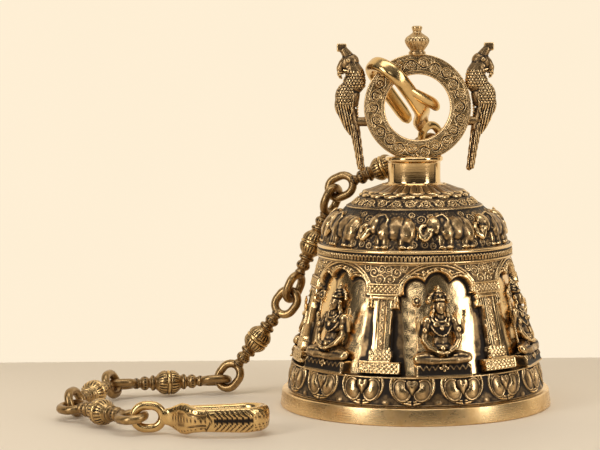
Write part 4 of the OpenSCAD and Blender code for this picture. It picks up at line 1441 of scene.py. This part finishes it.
def slab(name, size, centre, finish):
    """A flat block of the stage with softened edges, in metres."""
    work = bmesh.new()
    bmesh.ops.create_cube(work, size=1)
    work.transform(Matrix.Translation(centre) @ Matrix.Diagonal((*size, 1)))
    bmesh.ops.bevel(work, geom=work.edges[:], offset=0.004, segments=3, affect="EDGES", profile=0.5)
    mesh = bpy.data.meshes.new(name)
    work.to_mesh(mesh)
    work.free()
    mesh.materials.append(material(finish))
    new_object(name, mesh)


def soft_sky(scene, strength):
    """A surround that is dark below and pale above."""
    scene.world = scene.world or bpy.data.worlds.new("studio")
    scene.world.use_nodes = True
    tree = scene.world.node_tree
    tree.nodes["Background"].inputs["Strength"].default_value = strength
    where, split, ramp = (
        tree.nodes.new("ShaderNode" + kind) for kind in ("TexCoord", "SeparateXYZ", "ValToRGB"))
    below, above = ramp.color_ramp.elements
    below.position, below.color = 0.35, (0.10, 0.085, 0.07, 1)
    above.position, above.color = 0.95, (1.0, 0.95, 0.87, 1)
    tree.links.new(where.outputs["Generated"], split.inputs[0])
    tree.links.new(split.outputs["Z"], ramp.inputs[0])
    tree.links.new(ramp.outputs[0], tree.nodes["Background"].inputs["Color"])


def lamp(name, power, size, place, aim):
    """A rectangular area light that faces a point."""
    light = bpy.data.lights.new(name, "AREA")
    light.shape, light.size, light.size_y, light.energy = "RECTANGLE", *size, power
    light.color = (1.0, 0.97, 0.93)
    obj = new_object(name, light)
    obj.location = place
    obj.rotation_euler = (Vector(aim) - Vector(place)).to_track_quat("-Z", "Y").to_euler()


class BELL_OT_stage(bpy.types.Operator):
    """Table, backdrop, lights and camera"""
    bl_idname = "temple_bell.stage"
    bl_label = "Stage"

    def execute(self, context):
        sizes, scene = context.scene.bell_sizes, context.scene
        slab("table", (6.0, 2.4, 0.03), (0, -0.98, -0.015), "table top")
        slab("wall", (24.0, 0.02, 15.0), (0, 3.4, 2.4), "backdrop")
        scene.view_settings.view_transform = "Standard"
        soft_sky(scene, sizes.sky)
        lamp("key", 9.0, (0.45, 1.0), (-1.15, -0.95, 0.65), (0, 0, 0.12))
        lamp("fill", 6.0, (0.35, 1.0), (1.1, -0.75, 0.6), (0, 0, 0.12))
        lamp("front", 1.6, (0.3, 0.4), (-0.15, -2.1, 1.1), (0, 0, 0.1))
        lamp("top", 8.0, (1.4, 0.6), (0.0, -0.35, 1.6), (0, 0, 0))
        camera = bpy.data.cameras.new("view")
        camera.lens, camera.sensor_width = sizes.lens, 36
        obj = new_object("view", camera)
        obj.location = (-0.085, -1.52, 0.266)
        obj.rotation_euler = (math.radians(90) - sizes.tilt, sizes.roll, 0)
        scene.camera = obj
        return {"FINISHED"}


class BELL_PT_panel(bpy.types.Panel):
    """Sizes, colours and one button for each piece"""
    bl_idname = "BELL_PT_panel"
    bl_label = "Temple bell"
    bl_space_type = "VIEW_3D"
    bl_region_type = "UI"
    bl_category = "Temple bell"

    def draw(self, context):
        for group in (context.scene.bell_sizes, context.scene.brass_colours):
            for name in group.bl_rna.properties.keys():
                if name not in {"rna_type", "name"}:
                    self.layout.prop(group, name)
        for maker in MAKERS:
            self.layout.operator(maker.bl_idname)


MAKERS = (BELL_OT_body, BELL_OT_bands, BELL_OT_figures, BELL_OT_elephants, BELL_OT_crown, BELL_OT_birds,
          BELL_OT_clapper, BELL_OT_chain, BELL_OT_stage)
CLASSES = (BellSizes, BrassColours, *MAKERS, BELL_PT_panel)


def register():
    for made in CLASSES:
        bpy.utils.register_class(made)
    bpy.types.Scene.bell_sizes = bpy.props.PointerProperty(type=BellSizes)
    bpy.types.Scene.brass_colours = bpy.props.PointerProperty(type=BrassColours)


def unregister():
    del bpy.types.Scene.bell_sizes, bpy.types.Scene.brass_colours
    for made in reversed(CLASSES):
        bpy.utils.unregister_class(made)


def main():
    register()
    for maker in MAKERS:
        getattr(bpy.ops.temple_bell, maker.bl_idname.split(".")[1])()


if __name__ == "__main__":
    main()
